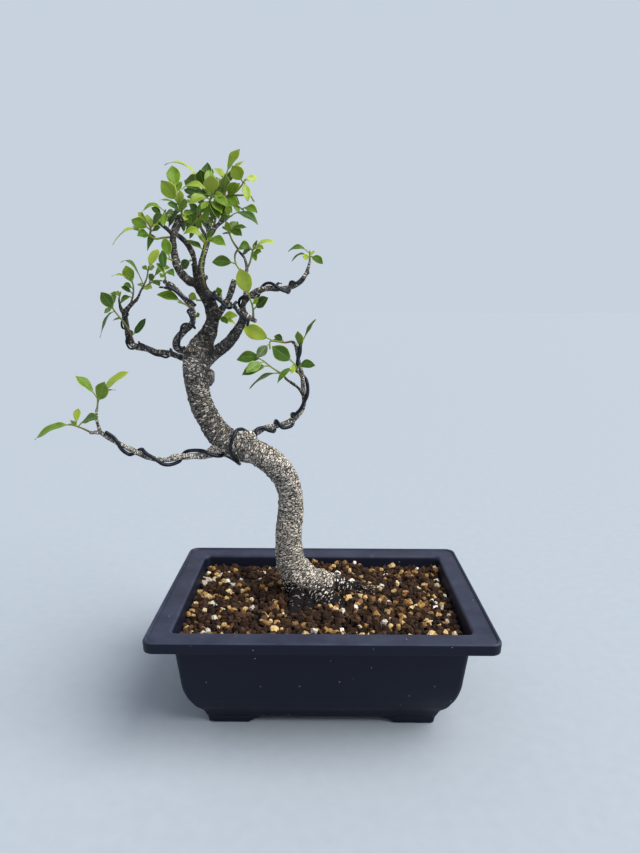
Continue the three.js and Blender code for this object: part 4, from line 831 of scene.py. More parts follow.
@dataclass(frozen=True)
class MouldedPolypropylene:
    """Navy polypropylene from a fine-sparked mould: a soft sheen, dust on what faces up with a painted
    highlight on its rounded edges, and dry specks.
    """

    body: str = "#0a1024"
    # Dust on faces that point up; the same colour is the painted highlight on the rounded edges.
    dusty: str = "#464c64"
    speck: str = "#b9b3a4"
    smudge: str = "#6b6b6c"
    spark_mm: float = 0.9  # a real mould grain is finer; this is as fine as shows
    cloud_mm: float = 24.0
    speck_cell_mm: float = 8.0
    smudge_mm: float = 15.0

    def build(self) -> bpy.types.Material:
        """Makes the material."""
        material, add, shader = new_material(
            "moulded_navy_polypropylene", {"IOR": 1.49, "Specular IOR Level": 0.24})
        place = add("TexCoord").outputs["Object"]
        cloud, blots = (
            add("TexNoise", {"Vector": place, "Scale": 1 / (size * MM), "Detail": fine, "Roughness": rough})
            for size, fine, rough in ((self.cloud_mm, 4.0, 0.65), (self.smudge_mm, 6.0, 0.7)))
        facing = add("SeparateXYZ", {0: add("NewGeometry").outputs["Normal"]})
        # Dust on faces that point up, plus a painted highlight: rounded edges, which face half up, get more
        # of the pale colour than flat tops. The smudges follow the same mask.
        dust_and_edge_highlight = add("ValToRGB", {0: facing.outputs["Z"]},
                     stops=[(0.25, 0.0), (0.5, 1.0), (0.88, 1.0), (0.97, 0.78)])
        dust = add("Math", {0: dust_and_edge_highlight, 1: cloud}, operation="MULTIPLY")
        dusted_and_highlighted = add("Mix", {0: dust, 6: self.body, 7: self.dusty}, data_type="RGBA")
        dirty = add("ValToRGB", {0: blots}, stops=[(0.62, 0.0), (0.74, 0.45)])
        smudged = add("Math", {0: dirty, 1: dust_and_edge_highlight}, operation="MULTIPLY")
        worn = add("Mix", {0: smudged, 6: dusted_and_highlighted, 7: self.smudge}, data_type="RGBA")
        cells = add("TexVoronoi", {"Vector": place, "Scale": 1 / (self.speck_cell_mm * MM)})
        near = add("ValToRGB", {0: cells.outputs["Distance"]}, stops=[(0.035, 1.0), (0.055, 0.0)])
        chance = add("SeparateColor", {0: cells.outputs["Color"]})
        chosen = add("Math", {0: chance, 1: 0.5}, operation="GREATER_THAN")
        specks = add("Math", {0: near, 1: chosen}, operation="MULTIPLY")
        colour = add("Mix", {0: specks, 6: worn, 7: self.speck}, data_type="RGBA")
        rough = add("MapRange", {0: cloud, 3: 0.42, 4: 0.58})
        spark = add("TexNoise", {"Vector": place, "Scale": 1 / (self.spark_mm * MM), "Detail": 2.0})
        bump = add("Bump", {"Height": spark, "Strength": 0.12, "Distance": 0.1 * MM})
        feed(shader, {"Base Color": colour, "Roughness": rough, "Normal": bump})
        return material


@dataclass(frozen=True)
class ExtrudedNetting:
    """Black polyethylene drain netting: plain, slightly waxy, with earth dust in its grain."""

    body: str = "#16181b"
    dusty: str = "#3d342c"
    dust_mm: float = 4.0

    def build(self) -> bpy.types.Material:
        """Makes the material."""
        material, add, shader = new_material("black_polyethylene_netting", {"IOR": 1.5, "Roughness": 0.5})
        place = add("TexCoord").outputs["Object"]
        dust = add("TexNoise", {"Vector": place, "Scale": 1 / (self.dust_mm * MM), "Detail": 5.0})
        colour = add("ValToRGB", {0: dust}, stops=[(0.45, self.body), (0.7, self.dusty)])
        bump = add("Bump", {"Height": dust, "Strength": 0.3, "Distance": 0.2 * MM})
        feed(shader, {"Base Color": colour, "Normal": bump})
        return material


@dataclass(frozen=True)
class SoilGrain:
    """Baked clay, pumice and lava grains: dull, pitted, mostly red-brown, with tan, golden and white ones.

    Each grain's point value soil_kind picks its colour, so a grain has one colour with a fine mottle.
    """

    kinds: tuple[tuple[float, str], ...] = (
        (0.0, "#231711"), (0.14, "#2f1f16"), (0.32, "#3b291e"), (0.5, "#453123"), (0.64, "#583f2c"),
        (0.7, "#80603d"), (0.74, "#986f3e"), (0.785, "#a8834d"), (0.84, "#b99a66"), (0.89, "#cfb27f"),
        (0.93, "#ddcda6"), (0.955, "#c6c0b4"), (0.978, "#f0ece2"),
    )
    mottle_mm: float = 1.4
    pit_mm: float = 0.7

    def build(self) -> bpy.types.Material:
        """Makes the material."""
        material, add, shader = new_material(
            "baked_clay_and_pumice_grains", {"Roughness": 0.93, "Specular IOR Level": 0.25})
        place = add("TexCoord").outputs["Object"]
        kind = add("Attribute", attribute_name="soil_kind").outputs["Fac"]
        grain = add("ValToRGB", {0: kind}, stops=self.kinds)
        grain.color_ramp.interpolation = "CONSTANT"
        mottle, pits = (add("TexNoise", {"Vector": place, "Scale": 1 / (size * MM), "Detail": detail})
                        for size, detail in ((self.mottle_mm, 4.0), (self.pit_mm, 3.0)))
        shade = add("MapRange", {0: mottle, 1: 0.3, 2: 0.7, 3: 0.5, 4: 1.42})
        colour = add("VectorMath", {0: grain, 1: shade}, operation="MULTIPLY")
        bump = add("Bump", {"Height": pits, "Strength": 0.7, "Distance": 0.35 * MM})
        feed(shader, {"Base Color": colour, "Normal": bump})
        return material


@dataclass(frozen=True)
class FicusBark:
    """Thin grey ficus bark: scales across the stem with pale corky ones, dark where it meets damp soil, and
    painted shade in the sunken middles of knots.

    It reads the straightened place bark_line, in millimetres round and along each limb, and the point values
    bark_tone (0 dark to 1 pale), bark_damp_and_shade (damp near the soil, and painted shade in knot hollows)
    and bark_scar.
    """

    tones: tuple[tuple[float, str], ...] = (
        (0.0, "#272523"), (0.3, "#565450"), (0.55, "#807d78"), (0.8, "#a39f98"), (1.0, "#c8c3ba"),
    )
    fleck: str = "#eee4d8"
    crevice: str = "#2a2622"
    # Damp bark near the soil; the same colour is painted shade in knot hollows.
    damp_and_shade: str = "#151217"
    callus: str = "#c6bba9"
    heartwood: str = "#351a12"
    pith: str = "#f0cba8"
    scale_mm: tuple[float, float] = (3.4, 1.25)
    fold_mm: tuple[float, float] = (9.0, 1.2)
    sway_mm: float = 5.0
    cloud_mm: float = 8.0
    grit_mm: float = 1.3

    def build(self) -> bpy.types.Material:
        """Makes the material."""
        material, add, shader = new_material(
            "grey_ficus_bark", {"Roughness": 0.86, "Specular IOR Level": 0.2})
        line = add("Attribute", attribute_name="bark_line").outputs["Vector"]
        tone, damp_and_shade, scar = (add("Attribute", attribute_name=name).outputs["Fac"]
                            for name in ("bark_tone", "bark_damp_and_shade", "bark_scar"))
        cloud, grit = (
            add("TexNoise", {"Vector": line, "Scale": 1 / size, "Detail": detail, "Roughness": 0.62})
            for size, detail in ((self.cloud_mm, 6.0), (self.grit_mm, 3.0)))
        across, along_folds = (add("Mapping", {"Vector": line, "Scale": (1 / wide, 1 / wide, 1 / tall)})
                               for wide, tall in (self.scale_mm, self.fold_mm))
        folds = add("TexNoise", {"Vector": along_folds, "Scale": 1.0, "Detail": 2.0})
        drift = add("MapRange", {0: cloud, 1: 0.3, 2: 0.7, 3: -0.16, 4: 0.16})
        folded = add("Math", {0: folds, 1: 0.5, 2: drift}, operation="MULTIPLY_ADD")
        eased = add("Math", {0: folded, 1: 0.25}, operation="SUBTRACT")
        shade = add("Math", {0: tone, 1: eased}, operation="ADD")

        # Bark scales: flat cells that lie across the limb, each with its own tone, between dark cracks.
        bent = add("TexNoise", {"Vector": line, "Scale": 1 / self.sway_mm, "Detail": 3.0})
        swayed = add("VectorMath", {0: bent.outputs["Color"], 1: (1.3,) * 3, 2: across},
                     operation="MULTIPLY_ADD")
        cells, edges = (add("TexVoronoi", {"Vector": swayed, "Scale": 1.0}, feature=feature)
                        for feature in ("F1", "DISTANCE_TO_EDGE"))
        draw = add("SeparateColor", {0: cells.outputs["Color"]})
        own = add("MapRange", {0: draw, 3: -0.2, 4: 0.2})
        scaled = add("Math", {0: shade, 1: own}, operation="ADD")
        ground = add("ValToRGB", {0: scaled}, stops=self.tones)
        edge = add("Math", {0: grit, 1: -0.12, 2: edges.outputs["Distance"]}, operation="MULTIPLY_ADD")
        cracks = add("ValToRGB", {0: edge}, stops=[(0.0, 0.95), (0.09, 0.0)])
        cracked = add("Mix", {0: cracks, 6: ground, 7: self.crevice}, data_type="RGBA")

        # Pale corky flecks: some of the scales, more of them where the bark is pale.
        rate = add("MapRange", {0: shade, 1: 0.1, 2: 0.85, 3: 0.95, 4: 0.46})
        over = add("Math", {0: draw.outputs[1], 1: rate}, operation="SUBTRACT")
        chosen = add("MapRange", {0: over, 1: 0.0, 2: 0.16, 3: 0.0, 4: 0.9})
        middle = add("ValToRGB", {0: edge}, stops=[(0.03, 0.0), (0.13, 1.0)])
        whole = add("Math", {0: chosen, 1: middle}, operation="MULTIPLY")
        paler = add("MapRange", {0: shade, 1: 0.15, 2: 0.8, 3: 0.42, 4: 1.0})
        flecks = add("Math", {0: whole, 1: paler}, operation="MULTIPLY")
        flecked = add("Mix", {0: flecks, 6: cracked, 7: self.fleck}, data_type="RGBA")

        # Damp, which darkens the flecks least, and painted shade in knot hollows through the same mask; then
        # the healed scars over it.
        soaked_and_shaded = add("Math", {0: damp_and_shade, 1: 1.65}, operation="MULTIPLY")
        wet_and_shaded = add("Math", {0: flecks, 1: -1.35, 2: soaked_and_shaded}, operation="MULTIPLY_ADD", use_clamp=True)
        damped_and_shaded = add("Mix", {0: wet_and_shaded, 6: flecked, 7: self.damp_and_shade}, data_type="RGBA")
        bare = add("ValToRGB", {0: scar}, stops=[(0.12, 0.0), (0.4, 0.9)])
        healed = add("ValToRGB", {0: scar}, stops=[
            (0.3, self.callus), (0.5, self.heartwood), (0.8, self.heartwood), (0.96, self.pith)])
        scarred = add("Mix", {0: bare, 6: damped_and_shaded, 7: healed}, data_type="RGBA")

        rough = add("Math", {0: own, 1: 1.2, 2: grit}, operation="MULTIPLY_ADD")
        high = add("Math", {0: folds, 1: 1.5, 2: rough}, operation="MULTIPLY_ADD")
        relief = add("Math", {0: cracks, 1: -0.9, 2: high}, operation="MULTIPLY_ADD")
        bump = add("Bump", {"Height": relief, "Strength": 0.9, "Distance": 0.55 * MM})
        feed(shader, {"Base Color": scarred, "Normal": bump})
        return material


@dataclass(frozen=True)
class AnodisedWire:
    """Soft aluminium training wire, anodised blue-black: a satin metal with faint marks of bending."""

    body: str = "#1b2029"
    rubbed: str = "#323845"
    mark_mm: float = 3.0

    def build(self) -> bpy.types.Material:
        """Makes the material."""
        material, add, shader = new_material("blue_black_anodised_aluminium", {"Metallic": 0.7})
        place = add("TexCoord").outputs["Object"]
        marks = add("TexNoise", {"Vector": place, "Scale": 1 / (self.mark_mm * MM), "Detail": 4.0})
        colour = add("ValToRGB", {0: marks}, stops=[(0.42, self.body), (0.72, self.rubbed)])
        rough = add("MapRange", {0: marks, 3: 0.3, 4: 0.46})
        feed(shader, {"Base Color": colour, "Roughness": rough})
        return material


@dataclass(frozen=True)
class FicusLeaf:
    """A ficus leaf's waxy skin, yellow-green when new and deep green when old, with a pale midrib and stalk.
    Its greens also carry painted shade and light, darker for leaves in shade and paler for lit ones, and a
    painted highlight runs along the blade's edge.

    It reads the point values blade_run (0 at the blade's foot to 1 at its tip), blade_side (-1 to 1 across),
    leaf_age_and_shade (its age, with painted shade and light), leaf_under, stalk (1 on stalks and shoots)
    and stalk_wood (1 where a shoot is brown).
    """

    # Greens from pale to dark: they stand for the leaf's age and also for painted shade and light.
    ages: tuple[tuple[float, str], ...] = (
        (0.0, "#a0b53b"), (0.25, "#829c22"), (0.5, "#5e8416"), (0.75, "#3e6415"), (1.0, "#294d19"),
    )
    under: str = "#86994a"
    vein: str = "#b3c468"
    # Painted highlight along the blade's edge.
    edge: str = "#c3d36a"
    shoot: str = "#829139"
    wood: str = "#5f4734"
    mottle_mm: float = 3.5
    veins: float = 9.0
    vein_slant: float = 2.6

    def build(self) -> bpy.types.Material:
        """Makes the material."""
        material, add, shader = new_material("waxy_ficus_leaf", {
            "IOR": 1.45, "Roughness": 0.38, "Specular IOR Level": 0.38, "Subsurface Weight": 0.12,
            "Subsurface Scale": 1.2 * MM})
        run, side, age_and_shade, below, stalk, wood = (
            add("Attribute", attribute_name=name).outputs["Fac"]
            for name in ("blade_run", "blade_side", "leaf_age_and_shade", "leaf_under", "stalk", "stalk_wood"))
        place = add("TexCoord").outputs["Object"]
        mottle = add("TexNoise", {"Vector": place, "Scale": 1 / (self.mottle_mm * MM), "Detail": 3.0})
        drift = add("MapRange", {0: mottle, 1: 0.3, 2: 0.7, 3: -0.07, 4: 0.07})
        aged_and_shaded = add("Math", {0: age_and_shade, 1: drift}, operation="ADD")
        green = add("ValToRGB", {0: aged_and_shaded}, stops=self.ages)

        # Midrib, side veins that slant from it to the edge, and a painted highlight along the edge.
        out = add("Math", {0: side}, operation="ABSOLUTE")
        midrib = add("ValToRGB", {0: out}, stops=[(0.015, 0.32), (0.075, 0.0)])
        slant = add("Math", {0: out, 1: -self.vein_slant / self.veins, 2: run}, operation="MULTIPLY_ADD")
        turns = add("Math", {0: slant, 1: self.veins * 2 * math.pi}, operation="MULTIPLY")
        wave = add("Math", {0: turns}, operation="COSINE")
        lines = add("ValToRGB", {0: wave}, stops=[(0.82, 0.0), (1.0, 0.1)])
        ribs = add("Math", {0: midrib, 1: lines}, operation="MAXIMUM")
        ribbed = add("Mix", {0: ribs, 6: green, 7: self.vein}, data_type="RGBA")
        rim = add("ValToRGB", {0: out}, stops=[(0.88, 0.0), (0.97, 0.72)])
        edge_highlighted = add("Mix", {0: rim, 6: ribbed, 7: self.edge}, data_type="RGBA")

        turned = add("Math", {0: below, 1: 0.35}, operation="MULTIPLY")
        blade = add("Mix", {0: turned, 6: edge_highlighted, 7: self.under}, data_type="RGBA")
        shoot = add("Mix", {0: wood, 6: self.shoot, 7: self.wood}, data_type="RGBA")
        colour = add("Mix", {0: stalk, 6: blade, 7: shoot}, data_type="RGBA")
        bump = add("Bump", {"Height": ribs, "Strength": 0.35, "Distance": 0.25 * MM}, invert=True)
        feed(shader, {"Base Color": colour, "Normal": bump})
        return material


@dataclass
class TrainingPot:
    """The moulded pot: drawn walls, a flat rim with a raised lip, a groove and a skirt, and corner feet."""

    finish: MouldedPolypropylene = MouldedPolypropylene()
    rim_height: float = 92
    rim_drop: float = 8
    lip_rise: float = 1.1
    lip_width: float = 2.8
    lip_ease: float = 0.85
    lip_groove: float = 0.7
    groove_slope: float = 1.1
    rim_width: float = 17
    rim_ease: float = 1.2
    rim_corner: float = 8
    corner_taper: float = 0.15
    least_corner: float = 3
    corner_points: int = 9
    skirt_batter: float = 0.4
    edge_round: float = 0.7
    wall_rings: int = 22
    throat: float = 4
    wall: float = 2.2
    foot_inset: float = 41
    foot_height: float = 9
    foot_draft: float = 1.3
    foot_wall: float = 5
    foot_length: float = 33
    side_foot_length: float = 25
    foot_chamfer: float = 0.8
    arch_points: int = 60
    arch_rise: float = 5.5
    arch_slope: float = 14
    floor_top: float = 10
    drain_radius: float = 11
    drain_spread: float = 52
    drain_sides: int = 40
    shading_weight: int = 80
    wall_line: tuple[tuple[float, float], ...] = (
        (39.5, 7), (36.5, 14), (32, 19.5), (29, 25), (26.2, 31), (23.4, 41), (22.2, 51), (20, 70),
    )

    def __post_init__(self) -> None:
        """Takes the pot's width and depth from its solid."""
        self.width, self.depth = (POT_HIGH - POT_LOW)[:2]

    def ring(self, inset: float, height: float, between: int = 0) -> Array:
        """A rectangle with round corners, set in from the rim's edge.

        Each corner is a quarter circle, which gets smaller towards the middle.

        Args:
            inset: How far inside the rim's edge it lies.
            height: Its height.
            between: How many more points each straight side has.

        Returns:
            The ring's points, turning left.
        """
        corner = max(self.rim_corner - inset * self.corner_taper, self.least_corner)
        half = np.array([self.width, self.depth]) / 2 - inset - corner
        turn = np.linspace(0, np.pi / 2, self.corner_points)
        quarters = []
        for quarter, sign in enumerate([(1, 1), (-1, 1), (-1, -1), (1, -1)]):
            angle = turn + quarter * np.pi / 2
            quarters.append(half * sign + corner * np.stack([np.cos(angle), np.sin(angle)], axis=1))
        if between:
            part = np.linspace(0, 1, between + 2)[1:-1, None]
            sides = [a[-1] * (1 - part) + b[0] * part for a, b in zip(quarters, quarters[1:] + quarters[:1])]
            quarters = [both for pair in zip(quarters, sides) for both in pair]
        flat = np.vstack(quarters)
        return np.column_stack([flat, np.full(len(flat), height)])

    def inner_rings(self, clearance: float, top: float, between: int = 0) -> list[Array]:
        """The rings of the inner face, from the floor up, with a clearance inside it."""
        rings = [
            self.ring(inset + self.wall + clearance, max(height, self.floor_top) + clearance
                      + (self.wall / 2 if height > self.floor_top else 0), between)
            for inset, height in self.wall_line[::2]
        ]
        return [*rings, self.ring(self.rim_width + self.wall + clearance, top, between)]

    def shell(self) -> Surface:
        """The walls and the rim in one skin: rings up the outside, over the rim and down the inside."""
        corners = np.array([(*point, 0.0) for point in self.wall_line])
        wall = smooth_line(corners, np.linspace(0, 1, self.wall_rings))[:, :2]
        top, under = self.rim_height, self.rim_height - self.wall
        rim = rounded([
            tuple(wall[-1]), (self.rim_width + self.rim_ease, under), (self.lip_width, under),
            (self.lip_width, top - self.rim_drop), (self.skirt_batter, top - self.rim_drop), (0, top),
            (self.lip_ease, top + self.lip_rise), (self.lip_width - self.lip_ease, top + self.lip_rise),
            (self.lip_width, top - self.lip_groove), (self.lip_width + self.groove_slope, top),
            (self.rim_width, top), (self.rim_width + self.rim_ease, top - self.rim_ease),
            (self.rim_width + self.wall, top - self.throat),
        ], self.edge_round)
        inner = self.inner_rings(0, top - self.throat)[::-1]
        rings = [self.ring(*place) for place in np.vstack([wall[:-1], rim[:-1]])] + inner
        return Surface(np.vstack(rings), ring_faces(len(rings), len(rings[0])))

    def feet(self) -> Surface:
        """The foot ring under the floor, with its lower edge raised into low arches between the corners."""
        outer, inner, chamfer = self.foot_inset, self.foot_inset + self.foot_wall, self.foot_chamfer
        sections = [
            (outer + chamfer, 0, 1), (outer, chamfer, 1), (outer - self.foot_draft, self.foot_height, 0),
            (inner, self.foot_height, 0), (inner, chamfer, 1), (inner - chamfer, 0, 1),
        ]
        half = np.array([self.width / 2 - outer - self.foot_length,
                         self.depth / 2 - outer - self.side_foot_length])
        rings = []
        for inset, height, low in sections:
            ring = self.ring(inset, height, self.arch_points)
            share = np.clip((half - np.abs(ring[:, :2])) / self.arch_slope, 0, 1).max(axis=1)
            ring[:, 2] += low * self.arch_rise * (1 - (1 - share) ** 2)
            rings.append(ring)
        rows, columns = len(rings), len(rings[0])
        faces = ring_faces(rows + 1, columns, ends=False)
        return Surface(np.vstack(rings), [tuple(i % (rows * columns) for i in f) for f in faces])

    def bore(self, side: int) -> bpy.types.Object:
        """A round bar through the floor where a drain hole is."""
        angle = np.arange(self.drain_sides) * 2 * np.pi / self.drain_sides
        rings = [np.column_stack([side * self.drain_spread + self.drain_radius * np.cos(angle),
                                  self.drain_radius * np.sin(angle), np.full(len(angle), height)])
                 for height in (0, 2 * self.floor_top)]
        return new_object("drain_bore", Surface(np.vstack(rings), ring_faces(2, len(angle))))

    def build(self) -> None:
        """Makes the pot, with its drain holes cut through the floor."""
        pot = new_object("training_pot_shell", self.shell())
        bores = [self.bore(side) for side in (-1, 1)]
        for bore in bores:
            cut = pot.modifiers.new("drain", "BOOLEAN")
            cut.operation, cut.object, cut.solver = "DIFFERENCE", bore, "EXACT"
        settled(pot)
        for bore in bores:
            bpy.data.objects.remove(bore)
        feet = new_object("training_pot_feet", self.feet())
        with bpy.context.temp_override(active_object=pot, object=pot, selected_editable_objects=[pot, feet]):
            bpy.ops.object.join()
        even = pot.modifiers.new("even_light", "WEIGHTED_NORMAL")
        even.weight = self.shading_weight
        dress(pot, self.finish.build(), "pot", "training_pot")


@dataclass
class DrainMeshes:
    """The squares of netting over the drain holes. Their solids are already true, so they stay."""

    finish: ExtrudedNetting = ExtrudedNetting()

    def build(self) -> None:
        """Gives both squares their material."""
        material = self.finish.build()
        for name in ("drain_mesh_left", "drain_mesh_right"):
            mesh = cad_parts[name].data
            mesh.materials.clear()
            mesh.materials.append(material)
            log.info("%s: kept, %s", name, material.name)


@dataclass
class SoilMix:
    """Loose grains on a bed that fills the pot and rises a little to the trunk."""

    pot: TrainingPot
    wood: "Wood"
    finish: SoilGrain = SoilGrain()
    seed: int = 11

    # The bed's form, then its rings and its crust
    gap: float = 0.3
    level: float = 79.5
    mound: float = 5
    mound_reach: float = 58
    mound_middle: tuple[float, float] = (-8, 9)
    swell: float = 1.7
    swell_width: float = 24
    back_heap: float = 2.6
    back_heap_reach: float = 26
    heap_uneven: float = 0.8
    bed_rings: int = 70
    bed_points: int = 50
    bed_middle: float = 0.004
    bed_sink: float = 2.2
    bed_rough: float = 0.8
    bed_rough_width: float = 2.6
    bed_speck_width: float = 2.2
    bed_speck_above: float = 0.2
    # The bed takes the darkest grain kinds: painted shade in the gaps between grains.
    bed_shade_kinds: tuple[float, float] = (0.15, 0.05)

    # The grains' places, sizes and shapes
    grain_cell: float = 4.5
    grain_shift: float = 0.42
    grain_radius: tuple[float, float] = (1.85, 3.5)
    size_draw: tuple[float, float] = (1.6, 2.4)
    grain_lift: tuple[float, float] = (-0.5, 0.35)
    loose_grains: int = 430
    loose_lift: tuple[float, float] = (1.0, 1.9)
    wall_clearance: float = 0.8
    wood_clearance: float = 0.1
    ball_share: float = 0.66
    stretch: tuple[float, float] = (0.7, 1.22)
    dents: tuple[float, float] = (0.74, 1.14)

    # How many grains are tan or white: the share in the middle, and what patches and the walls add
    first_tan: float = 0.7
    middle_tan: float = 0.17
    patch_width: float = 12
    patch_tan: float = 0.12
    side_reach: float = 55
    left_tan: float = 0.16
    right_tan: float = 0.1
    front_reach: float = 30
    front_tan: float = 0.2
    least_tan: float = 0.05
    most_tan: float = 0.55

    def height(self, flat: Array) -> Array:
        """The bed's height at (right, back) places: a bell round the trunk, uneven, heaped to the back."""
        away = np.linalg.norm(flat - self.mound_middle, axis=1) / self.mound_reach
        places = np.column_stack([flat / self.swell_width, np.full(len(flat), 0.5)])
        uneven = lattice_noise(places, self.seed)
        back = self.pot.depth / 2 - self.pot.rim_width - flat[:, 1]
        heap = ease(1 - back / self.back_heap_reach) * (1 + self.heap_uneven * uneven)
        return self.level + self.mound * np.exp(-away ** 2) + self.swell * uneven + self.back_heap * heap

    def bed(self) -> Surface:
        """The bed: rings that shrink to the middle over the top, and follow the pot's inner face below. It
        takes the darkest grain kinds, as painted shade in the gaps between the grains.
        """
        below = self.pot.inner_rings(self.gap, self.level, self.bed_points)
        edge = below[-1]
        shares = np.linspace(1, self.bed_middle, self.bed_rings)
        top = (edge[None, :, :2] * shares[:, None, None]).reshape(-1, 2)
        places = np.column_stack([top / self.bed_rough_width, np.zeros(len(top))])
        rough = lattice_noise(places, self.seed + 1)
        crust = np.column_stack([top, self.height(top) - self.bed_sink + self.bed_rough * rough])
        points = np.vstack([*below[:-1], crust])
        rows = len(below) - 1 + self.bed_rings
        speckled = lattice_noise(points / self.bed_speck_width, self.seed + 2) > self.bed_speck_above
        kind = np.where(speckled, *self.bed_shade_kinds)
        return Surface(points, ring_faces(rows, len(edge)), {"soil_kind": kind})

    def places(self, draw: np.random.Generator) -> tuple[Array, Array]:
        """Where the grains lie, and how large they are.

        A layer in staggered rows, each grain moved by a random part of its cell, then a loose layer on it.
        Grains that would lie outside the pot or in the wood are left out.

        Args:
            draw: The random draws.

        Returns:
            The grains' middles and radii.
        """
        half = self.pot.inner_rings(self.gap, self.level)[-1].max(axis=0)[:2]
        columns, rows = (2 * half / self.grain_cell).astype(int)
        row, column = np.meshgrid(np.arange(rows + 1), np.arange(columns + 1), indexing="ij")
        grid = np.stack([column + row % 2 / 2 - columns / 2, row - rows / 2], axis=-1).reshape(-1, 2)
        shift = draw.uniform(-self.grain_shift, self.grain_shift, grid.shape)
        grid = grid * self.grain_cell + shift * self.grain_cell
        loose = draw.uniform(-1, 1, (self.loose_grains, 2)) * half
        flat = np.vstack([grid, loose])
        small, large = self.grain_radius
        radius = small + (large - small) * draw.beta(*self.size_draw, len(flat))
        lift = np.concatenate([
            draw.uniform(*self.grain_lift, len(grid)), draw.uniform(*self.loose_lift, len(loose))])
        middles = np.column_stack([flat, self.height(flat) + lift])
        inside = np.all(np.abs(flat) < half - radius[:, None] * self.wall_clearance, axis=1)
        clear = self.wood.nearest(middles)[1] > self.wood_clearance * radius
        return middles[inside & clear], radius[inside & clear]

    def grain(self) -> Surface:
        """One grain before its own shape: a cube with each side cut in four, blown out towards a ball."""
        grid = np.array([place for place in product((-1.0, 0.0, 1.0), repeat=3) if any(np.abs(place) == 1)])
        index = {tuple(p): i for i, p in enumerate(grid)}
        faces = []
        for axis, side, u, v in product(range(3), (-1.0, 1.0), (-1.0, 0.0), (-1.0, 0.0)):
            corners = [(u, v), (u + 1, v), (u + 1, v + 1), (u, v + 1)][::int(side)]
            faces.append(tuple(index[tuple(np.roll([side, *c], axis))] for c in corners))
        return Surface((1 - self.ball_share) * grid + self.ball_share * unit(grid), faces)

    def grains(self) -> list[Surface]:
        """All grains, in one skin for each third of them.

        Each is the same blown-out cube, turned at random, stretched by a share out of self.stretch along
        each of its own axes, with each corner moved in or out by a share out of self.dents.

        Returns:
            The skins.
        """
        draw = np.random.default_rng(self.seed)
        middles, radius = self.places(draw)
        count = len(middles)
        shape = self.grain()
        turns, _ = np.linalg.qr(draw.normal(size=(count, 3, 3)))
        turns *= np.sign(np.linalg.det(turns))[:, None, None]
        stretch = draw.uniform(*self.stretch, (count, 1, 3))
        dents = draw.uniform(*self.dents, (count, len(shape.points), 1))
        points = (shape.points[None] * dents * stretch * radius[:, None, None]) @ turns + middles[:, None]
        kind = self.kinds(middles, draw.uniform(0, 1, count))
        batches = []
        for part in np.array_split(np.arange(count), 3):
            faces = np.array(shape.faces)[None] + (np.arange(len(part)) * len(shape.points))[:, None, None]
            batches.append(Surface(
                points[part].reshape(-1, 3), [tuple(f) for f in faces.reshape(-1, 4).tolist()],
                {"soil_kind": np.repeat(kind[part], len(shape.points))}))
        return batches

    def kinds(self, middles: Array, chance: Array) -> Array:
        """Which kind each grain is, from 0 dark to 1 white.

        The share of tan and white grains is small in the middle and grows to the left, right and front
        walls, in patches. Dark kinds lie below self.first_tan, tan and white ones above.

        Args:
            middles: Where the grains lie.
            chance: An even draw for each.

        Returns:
            The kinds.
        """
        half = np.array([self.pot.width, self.pot.depth]) / 2 - self.pot.rim_width
        left, right = (ease(1 - (half[0] + side * middles[:, 0]) / self.side_reach) for side in (1, -1))
        front = ease(1 - (half[1] + middles[:, 1]) / self.front_reach)
        patches = lattice_noise(middles / self.patch_width, self.seed + 3)
        share = (self.middle_tan + self.left_tan * left + self.right_tan * right
                 + self.front_tan * front + self.patch_tan * patches)
        share = np.clip(share, self.least_tan, self.most_tan)
        dark = chance / (1 - share) * self.first_tan
        pale = self.first_tan + (chance - 1 + share) / share * (1 - self.first_tan)
        return np.where(chance < 1 - share, dark, pale)

    def build(self) -> None:
        """Makes the bed and the grains."""
        material = self.finish.build()
        dress(new_object("soil_bed", self.bed()), material, "soil", "soil_mix")
        for number, grains in enumerate(self.grains(), 1):
            dress(new_object(f"soil_grains_{number}", grains, smooth=False), material, "soil", "soil_mix")


@dataclass(frozen=True)
class Knot:
    """A healed scar on the bark: a ring of callus round a sunken middle, which may be bare, and may be
    darkened as painted shade in its hollow.
    """

    place: tuple[float, float, float]
    radius: float
    callus: float
    sink: float
    bare: float
    # How much painted shade darkens the sunken middle.
    dark: float = 0.0


